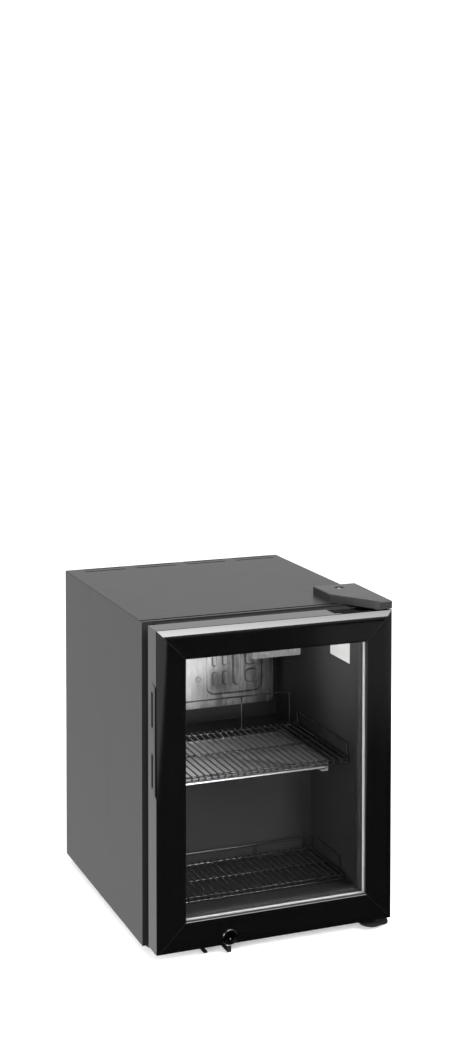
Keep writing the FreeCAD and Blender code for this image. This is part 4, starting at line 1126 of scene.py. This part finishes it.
@dataclass
class Joints:
    """The fine lines where pieces meet: the door's four mitres, and a dark matt strip as painted shade in the joint
    behind the roof's front flange.
    """

    member: float = 44.0
    nose_run: float = 16.0
    nose_radius: float = 26.0
    ledge: float = 1.0
    line: float = 0.2
    proud: float = 0.06
    steps: int = 9
    flange: float = 6.5
    joint: float = 4.6
    steel: float = 0.8
    shade_strip_low: float = 0.4
    shade_strip_proud: float = 0.1
    shade_strip_round: float = 0.04

    def depth(self, inset: float) -> float:
        """Give how far the nose falls back at an inset from the door's edge."""
        short = max(self.nose_run - inset, 0.0)
        return self.nose_radius - math.sqrt(self.nose_radius ** 2 - short ** 2)

    def mitre(self, corner: Vector, side: int, end: int) -> Shape:
        """Lay a fine line in from a corner of the door, over the nose and down to the lip.

        Args:
            corner: The corner of the members' outer box.
            side: 1 at the right side, -1 at the left.
            end: 1 at the top, -1 at the bottom.

        Returns:
            The line, closed.
        """
        insets = [self.ledge + (self.nose_run - self.ledge) * n / self.steps for n in range(self.steps + 1)]
        insets.append(self.member - self.ledge)
        across = Vector((side, 0, -end)).normalized() * self.line / 2
        shape = Shape()
        mesh = shape.mesh
        first = corner + Vector((-side * insets[0], self.depth(insets[0]) - self.proud, -end * insets[0]))
        edge = mesh.edges.new([mesh.verts.new(first - across), mesh.verts.new(first + across)])
        for inset, next_inset in zip(insets, insets[1:]):
            run = next_inset - inset
            step = Vector((-side * run, self.depth(next_inset) - self.depth(inset), -end * run))
            verts, edges = shape.drawn([edge])
            edge = next(e for e in edges if all(v in verts for v in e.verts))
            bmesh.ops.translate(mesh, vec=step, verts=verts)
        made = bmesh.ops.extrude_face_region(mesh, geom=mesh.faces[:])["geom"]
        bmesh.ops.translate(mesh, vec=(0, 2 * self.proud, 0), verts=verts_of(made))
        return shape.cleaned()

    def mitres(self) -> None:
        """Lay the four lines of the mitres."""
        low, high = limits("left_stile")[0], limits("right_stile")[1]
        middle = (low + high) / 2
        lines = Shape()
        for side in (-1, 1):
            for end in (-1, 1):
                corner = Vector((middle.x + side * (high.x - low.x) / 2, low.y, middle.z + end * (high.z - low.z) / 2))
                lines.add(self.mitre(corner, side, end))
        lines.install("door_mitre_lines", "door", "door_gloss", [SEALANT])

    def roof(self) -> None:
        """Lay a dark strip without sheen in the joint behind the roof's front flange, as painted shade of the gap."""
        low, high, _ = limits("outer_wrap")
        front = low.y + self.flange
        shade_strip = Shape.box((low.x + self.steel, high.x - self.steel), (front, front + self.joint),
                         (high.z - self.shade_strip_low, high.z + self.shade_strip_proud), self.shade_strip_round)
        shade_strip.install("roof_front_joint", "cabinet", "black_rubber", [JOINT_SHADE])

    def build(self) -> None:
        """Lay the lines."""
        self.mitres()
        self.roof()


@dataclass
class Tray:
    """The drip tray: a shallow pressed sheet with a rolled rim and walls that slope in.

    The roll's points are its inset and its share of the rim's height.
    """

    rim: float = 1.0
    roll: tuple[tuple[float, float], ...] = ((0.25, 0.75), (0.8, 1.0), (1.5, 0.75), (1.9, 0.0))
    fold: float = 1.6
    fold_rise: float = 0.4
    slope: float = 8.0
    depth: float = 3.4
    sheet: float = 0.7
    corner: float = 6.0

    def build(self) -> None:
        """Build the tray in place of the plain one."""
        low, high, middle = limits("drip_tray")
        shape = Shape.sheet(Matrix.Translation((middle.x, middle.y, high.z - self.rim)), high.x - low.x,
                            high.y - low.y)
        mesh = shape.mesh
        shape.rounded(mesh.verts[:], self.corner, 5, Rounding.CORNERS)
        inside = mesh.faces[:]
        around = [(inset, share * self.rim) for inset, share in self.roll]
        around.append((self.roll[-1][0] + self.slope, self.rim - self.depth + self.sheet))
        before = (0.0, 0.0)
        for inset, level in around:
            shape.pressed(inside, inset - before[0], level - before[1])
            before = (inset, level)
        bmesh.ops.translate(mesh, vec=(0, 0, -self.rim), verts=shape.drawn(shape.rim())[0])
        base = bmesh.ops.contextual_create(mesh, geom=shape.rim())["faces"]
        shape.pressed(base, self.fold, self.fold_rise)
        shape.pressed(base, self.slope, 2 * self.rim - self.depth - self.fold_rise)
        shape.cleaned().install("drip_tray_pressed", "drip_tray", "tray_steel", [TRAY_STEEL], ["drip_tray"])


@dataclass
class Feet:
    """The rubber feet, each with a rounded sole and a groove under its shoulder.

    The sole's points are how far in from the side and up from the floor they lie, the shoulder's how far in and
    down from the top.
    """

    sole: tuple[tuple[float, float], ...] = ((2.2, 0.0), (0.9, 0.4), (0.2, 1.3), (0.0, 2.2))
    shoulder: tuple[tuple[float, float], ...] = (
        (0.0, 4.2), (0.3, 3.8), (1.5, 3.6), (1.5, 2.8), (0.3, 2.6), (0.0, 2.2), (0.0, 0.6), (0.6, 0.0))
    sides: int = 56

    def foot(self, place: Matrix, radius: float, height: float) -> Shape:
        """Turn one foot of a radius and height that stands at a place."""
        outline = [(0, 0), *((radius - inset, up) for inset, up in self.sole)]
        outline += [*((radius - inset, height - down) for inset, down in self.shoulder), (0, height)]
        return Shape.turned(outline, place, self.sides)

    def build(self) -> None:
        """Build every foot in place of its plain one."""
        for node in ("front_right_foot", "front_left_foot"):
            low, high, middle = limits(node)
            shape = self.foot(Facing.UP.at(middle.x, middle.y, low.z), (high.x - low.x) / 2, high.z - low.z)
            shape.install(f"{node}_grooved", "cabinet", "black_rubber", [BLACK_RUBBER], [node])
        low, high, _ = limits("rear_feet")
        radius = (high.y - low.y) / 2
        pair = Shape()
        for x in (low.x + radius, high.x - radius):
            pair.add(self.foot(Facing.UP.at(x, low.y + radius, low.z), radius, high.z - low.z))
        pair.install("rear_feet_grooved", "cabinet", "black_rubber", [BLACK_RUBBER], ["rear_feet"])


@dataclass
class Grip:
    """The finger grip in the door's free edge: a cover plate with two long slots over a dark pocket."""

    plate: float = 0.2
    slot_wide: float = 8.0
    slots: tuple[tuple[float, float], ...] = ((256.0, 305.0), (343.0, 395.0))
    pocket: float = 9.0
    back: float = 0.5

    def build(self) -> None:
        """Build the grip's lining in place of the plain one."""
        low, high, middle = limits("grip_insert")
        across = [high.y, middle.y + self.slot_wide / 2, middle.y - self.slot_wide / 2, low.y]
        upwards = [low.z, *(level for slot in self.slots for level in slot), high.z]
        shape = Shape()
        mesh = shape.mesh
        bmesh.ops.create_grid(mesh, x_segments=len(across) - 1, y_segments=len(upwards) - 1, size=1.0)
        for vert in mesh.verts:
            column = round((vert.co.x + 1) / 2 * (len(across) - 1))
            row = round((vert.co.y + 1) / 2 * (len(upwards) - 1))
            vert.co = (low.x - self.plate, across[column], upwards[row])
        holes = [f for f in mesh.faces if abs(f.calc_center_median().y - middle.y) < 1
                 and any(a < f.calc_center_median().z < b for a, b in self.slots)]
        made = bmesh.ops.extrude_face_region(mesh, geom=holes)["geom"]
        floors = [part for part in made if isinstance(part, bmesh.types.BMFace)]
        bmesh.ops.delete(mesh, geom=[f for f in holes if f.is_valid], context="FACES_ONLY")
        bmesh.ops.translate(mesh, vec=(self.pocket, 0, 0), verts=list({v for f in floors for v in f.verts}))
        for wall in (face for floor in floors for edge in floor.edges for face in edge.link_faces):
            wall.material_index = 1
        corners = [e for e in mesh.edges if abs(e.verts[0].co.x - e.verts[1].co.x) > 1]
        shape.rounded(corners, self.slot_wide / 2 - 0.1, 5, Rounding.EDGES)
        bmesh.ops.translate(mesh, vec=(self.pocket + self.back, 0, 0), verts=shape.drawn(shape.rim())[0])
        shape.filled().cleaned().install("grip_lining", "door", "door_gloss", [DOOR_LACQUER, BLACK_PLASTIC],
                                         ["grip_insert"])


@dataclass
class Lock:
    """The key lock under the door's lower edge; the bezel's points are its radius and its depth behind the face."""

    height: float = 31.0
    bore: float = 6.1
    face: float = 0.4
    barrel: float = 9.0
    bezel: tuple[tuple[float, float], ...] = (
        (11.4, 3.4), (12.0, 3.0), (12.0, 2.0), (11.5, 0.9), (10.4, 0.2), (9.4, 0.0), (8.1, 0.0), (7.3, 0.5),
        (6.6, 0.5))
    keyway: tuple[float, float, float] = (0.7, 1.3, -2.6)
    keyway_depth: tuple[float, float] = (0.15, 0.8)
    keyway_round: float = 0.22
    sides: int = 72

    def build(self) -> None:
        """Build the barrel with its rounded bezel in place of the plain one, and the keyway."""
        low, high, middle = limits("lock_barrel")
        x, z, deep = middle.x, self.height, high.y - low.y
        outline = [(self.bore, self.face), (self.bore, deep), (self.barrel, deep), (self.barrel, self.bezel[0][1]),
                   *self.bezel, (self.bore, self.face)]
        shape = Shape.turned(outline, Facing.REAR.at(x, low.y, z), self.sides)
        shape.install("lock_barrel_bezel", "door", "lock_chrome", [LOCK_CHROME], ["lock_barrel"])
        wide, tall, drop = self.keyway
        front, back = (low.y + depth for depth in self.keyway_depth)
        steel = Shape.box((x - wide, x + wide), (front, back), (z + drop - tall, z + drop + tall),
                          self.keyway_round)
        steel.install("lock_keyway", "lock", "lock_chrome", [KEYWAY_STEEL])


@dataclass
class RearFittings:
    """What the back shows: the lips pressed out over the cover's air slots, and the thermostat's knob and scale.

    A column of slots is its middle, its lowest slot, their number and their pitch. A lip is its height, how far
    it stands out and its rounding. A tick is half its width, how far out it starts, its length and its growth.
    """

    columns: tuple[tuple[float, float, int, float], ...] = (
        (-112.0, 262.0, 8, 24.0), (0.0, 262.0, 8, 24.0), (112.0, 262.0, 8, 24.0),
        (-112.0, 124.0, 6, 16.0), (0.0, 44.0, 11, 16.0), (112.0, 124.0, 6, 16.0),
    )
    slot_long: float = 84.0
    slot_half: float = 3.0
    lip: tuple[float, float, float] = (2.2, 1.9, 0.9)
    flutes: int = 24
    flute_deep: float = 0.07
    ticks: int = 8
    tick: tuple[float, float, float, float] = (0.45, 20.0, 2.0, 0.4)
    sweep: float = 270.0

    def lips(self) -> None:
        """Build a shallow lip above every air slot."""
        face = limits("rear_cover")[1].y
        tall, proud, round_by = self.lip
        shape = Shape()
        for x, first, count, pitch in self.columns:
            for number in range(count):
                z = first + number * pitch + self.slot_half
                shape.add(Shape.box((x - self.slot_long / 2, x + self.slot_long / 2), (face - 0.1, face + proud),
                                    (z, z + tall), round_by))
        shape.install("rear_cover_slot_lips", "cabinet", "zinc_sheet", [ZINC])

    def knob(self) -> None:
        """Build the fluted knob with its mark in place of the plain one."""
        low, high, middle = limits("thermostat_knob")
        r, h = (high.x - low.x) / 2, high.y - low.y
        # A skirt, and above it the grip, which narrows to the top
        outline = [(0, 0), (r - 0.8, 0), (r, 0.8), (r, 2.2), (0.9 * r, 3.0), (0.82 * r, h - 1.2), (0.76 * r, h - 0.3),
                   (0.66 * r, h), (0, h)]
        shape = Shape.turned(outline, Matrix.Identity(4), 4 * self.flutes)
        for vert in shape.mesh.verts:
            if vert.co.z > 2.5 and math.hypot(vert.co.x, vert.co.y) > 0.7 * r:
                wave = 0.5 + 0.5 * math.cos(self.flutes * math.atan2(vert.co.y, vert.co.x))
                vert.co.xy *= 1 - self.flute_deep * wave
        shape.moved(Facing.REAR.at(middle.x, low.y, middle.z))
        mark = Shape.box((middle.x - 0.5, middle.x + 0.5), (high.y - 0.2, high.y + 0.05),
                         (middle.z + 0.2 * r, middle.z + 0.62 * r), 0.08)
        for face in mark.mesh.faces:
            face.material_index = 1
        shape.add(mark).install("fluted_knob", "thermostat_knob", "black_plastic", [BLACK_PLASTIC, DIAL_PRINT],
                                ["thermostat_knob"])

    def scale(self) -> None:
        """Print the scale's ticks on the cover, longer as the setting rises."""
        middle = limits("thermostat_knob")[2]
        face = limits("rear_cover")[1].y
        half, out, length, growth = self.tick
        shape = Shape()
        for number in range(self.ticks):
            turn = math.radians(self.sweep * number / (self.ticks - 1) - self.sweep / 2)
            tick = Shape.box((-half, half), (-0.05, 0.05), (out, out + length + growth * number), 0.03)
            place = Matrix.Translation((middle.x, face + 0.04, middle.z)) @ Matrix.Rotation(turn, 4, "Y")
            shape.add(tick.moved(place))
        shape.install("thermostat_scale", "cabinet", "zinc_sheet", [DIAL_PRINT])

    def build(self) -> None:
        """Build the fittings."""
        self.lips()
        self.knob()
        self.scale()


@dataclass(frozen=True)
class Panel:
    """A soft rectangular light: its place, the point that it faces, its size in metres and its power in watts.

    The fade is the share of its brightness that is left at its far side.
    """

    name: str
    at: tuple[float, float, float]
    towards: tuple[float, float, float]
    size: tuple[float, float]
    power: float
    fade: float = 1.0

    def hang(self) -> bpy.types.Object:
        """Hang the light, which the camera doesn't see.

        Returns:
            The light.
        """
        data = bpy.data.lights.new(self.name, "AREA")
        data.shape = "RECTANGLE"
        data.size, data.size_y = self.size
        data.energy = self.power
        surface = Surface(data)
        across = surface.node("ShaderNodeNewGeometry", out="Parametric")
        split = surface.node("ShaderNodeSeparateXYZ", None, {0: across})
        level = 1 + (self.fade - 1) * split.rise(0.0, 1.0)
        glow = surface.node("ShaderNodeEmission", None, {"Strength": level})
        surface.node("ShaderNodeOutputLight", None, {0: glow})
        light = bpy.data.objects.new(self.name, data)
        light.location = self.at
        light.rotation_euler = (Vector(self.towards) - Vector(self.at)).to_track_quat("-Z", "Y").to_euler()
        light.visible_camera = False
        bpy.context.scene.collection.objects.link(light)
        return light


@dataclass
class Studio:
    """The camera at the photograph's place, a pale floor and soft lights."""

    camera_at: tuple[float, float, float] = (-0.9644, -2.4833, 1.0572)
    camera_turn: tuple[float, float] = (87.433, -21.5)
    lens: float = 57.8
    shift: float = -0.2142
    floor_half: float = 9.0
    key: Panel = Panel("key", (0.6, -1.9, 1.75), (0.0, -0.15, 0.3), (2.2, 1.3), 220.0, 0.3)
    fill: Panel = Panel("fill_left", (-1.7, -1.5, 0.42), (0.16, -0.1, 0.4), (1.2, 0.6), 75.0)
    low_front: Panel = Panel("low_front", (0.28, -2.3, 0.2), (-0.1, 0.14, 0.34), (0.35, 0.36), 20.0)
    room_pieces: tuple[str, ...] = ("evaporator_skin", "evaporator_screw_heads", "drip_tray_pressed")
    room_nodes: tuple[str, ...] = ("upper_shelf", "lower_shelf", "liner")

    def camera(self) -> None:
        """Place the camera."""
        data = bpy.data.cameras.new("photograph")
        data.lens = self.lens
        data.sensor_width = 36.0
        data.shift_y = self.shift
        camera = bpy.data.objects.new("photograph", data)
        camera.location = self.camera_at
        camera.rotation_euler = (math.radians(self.camera_turn[0]), 0, math.radians(self.camera_turn[1]))
        bpy.context.scene.collection.objects.link(camera)
        bpy.context.scene.camera = camera

    def floor(self) -> None:
        """Lay the pale floor, which the gloss of the door doesn't show."""
        mesh = bpy.data.meshes.new("floor")
        sheet = bmesh.new()
        bmesh.ops.create_grid(sheet, x_segments=1, y_segments=1, size=self.floor_half)
        sheet.to_mesh(mesh)
        sheet.free()
        material = bpy.data.materials.new("pale_floor")
        surface = Surface(material)
        tone = surface.mix(surface.noise(400, 3.0), grey(0.86), grey(0.9))
        surface.output(surface.principled(Base_Color=tone, Roughness=0.8, Emission_Color=tone,
                                          Emission_Strength=0.35))
        mesh.materials.append(material)
        floor = bpy.data.objects.new("floor", mesh)
        floor.visible_glossy = False
        bpy.context.scene.collection.objects.link(floor)

    def world(self) -> None:
        """Light the room: bright behind and above, darker in front and low down.

        The limits are parts of a direction of length 1. behind is the pale rear, brighter above the horizon and
        far below it. room is the pale walls above a low edge that slopes; in the sector ahead they start higher
        and softer. beside is a dim strip low at the right.
        """
        world = bpy.data.worlds.new("studio")
        bpy.context.scene.world = world
        surface = Surface(world)
        way = surface.node("ShaderNodeTexCoord", out="Generated")
        split = surface.node("ShaderNodeSeparateXYZ", None, {0: way}).socket.node
        x, y, z = (Value(surface, socket) for socket in split.outputs)
        below = (0 - z).rise(0.2, 0.34)
        behind = y.rise(0.1, 0.5) * (0.68 + (0.4 * below).most(0.32 * z.rise(0, 0.15)))
        ahead = x.rise(0.12, 0.24) * (1 - x.rise(0.52, 0.7))
        low_edge = z - 0.08 * x + 0.256
        room = low_edge.rise(-0.014, 0.014) * (1 - ahead) + z.rise(0.0, 0.4) * ahead
        beside = x.rise(0.395, 0.41) * z.rise(-0.3, -0.25) * (1 - z.rise(-0.12, -0.04)) * 0.3
        level = behind.most(room).most(beside) * 0.9 + 0.012
        camera_ray = surface.node("ShaderNodeLightPath", out="Is Camera Ray")
        seen = surface.node("ShaderNodeBackground", None, {"Color": grey(1.0), "Strength": 1.0})
        lit = surface.node("ShaderNodeBackground", None, {"Color": grey(1.0), "Strength": level})
        both = surface.node("ShaderNodeMixShader", None, {0: camera_ray, 1: lit, 2: seen})
        surface.node("ShaderNodeOutputWorld", None, {"Surface": both})

    def light_room(self) -> None:
        """Light the room's fittings from low in front, so that the glass and the lacquer don't mirror the light."""
        lit = bpy.data.collections.new("lit_room")
        for name in self.room_pieces:
            lit.objects.link(bpy.data.objects[name])
        for node in self.room_nodes:
            lit.objects.link(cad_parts[node])
        self.low_front.hang().light_linking.receiver_collection = lit

    def build(self) -> None:
        """Set up the camera, the floor and the lights."""
        self.camera()
        self.floor()
        self.world()
        self.key.hang()
        self.fill.hang()
        bpy.context.scene.view_settings.view_transform = "Standard"


def main() -> None:
    """Build the studio, dress the CAD nodes and add the fridge's own detailed pieces."""
    logging.basicConfig(level=logging.INFO, format="%(name)s: %(message)s")
    studio = Studio()
    studio.build()
    dress_nodes()
    for assembly in (Screws(), Evaporator(), Lamp(), DoorSeals(), Joints(), Tray(), Feet(), Grip(), Lock(),
                     RearFittings()):
        assembly.build()
    studio.light_room()


if __name__ == "__main__":
    main()
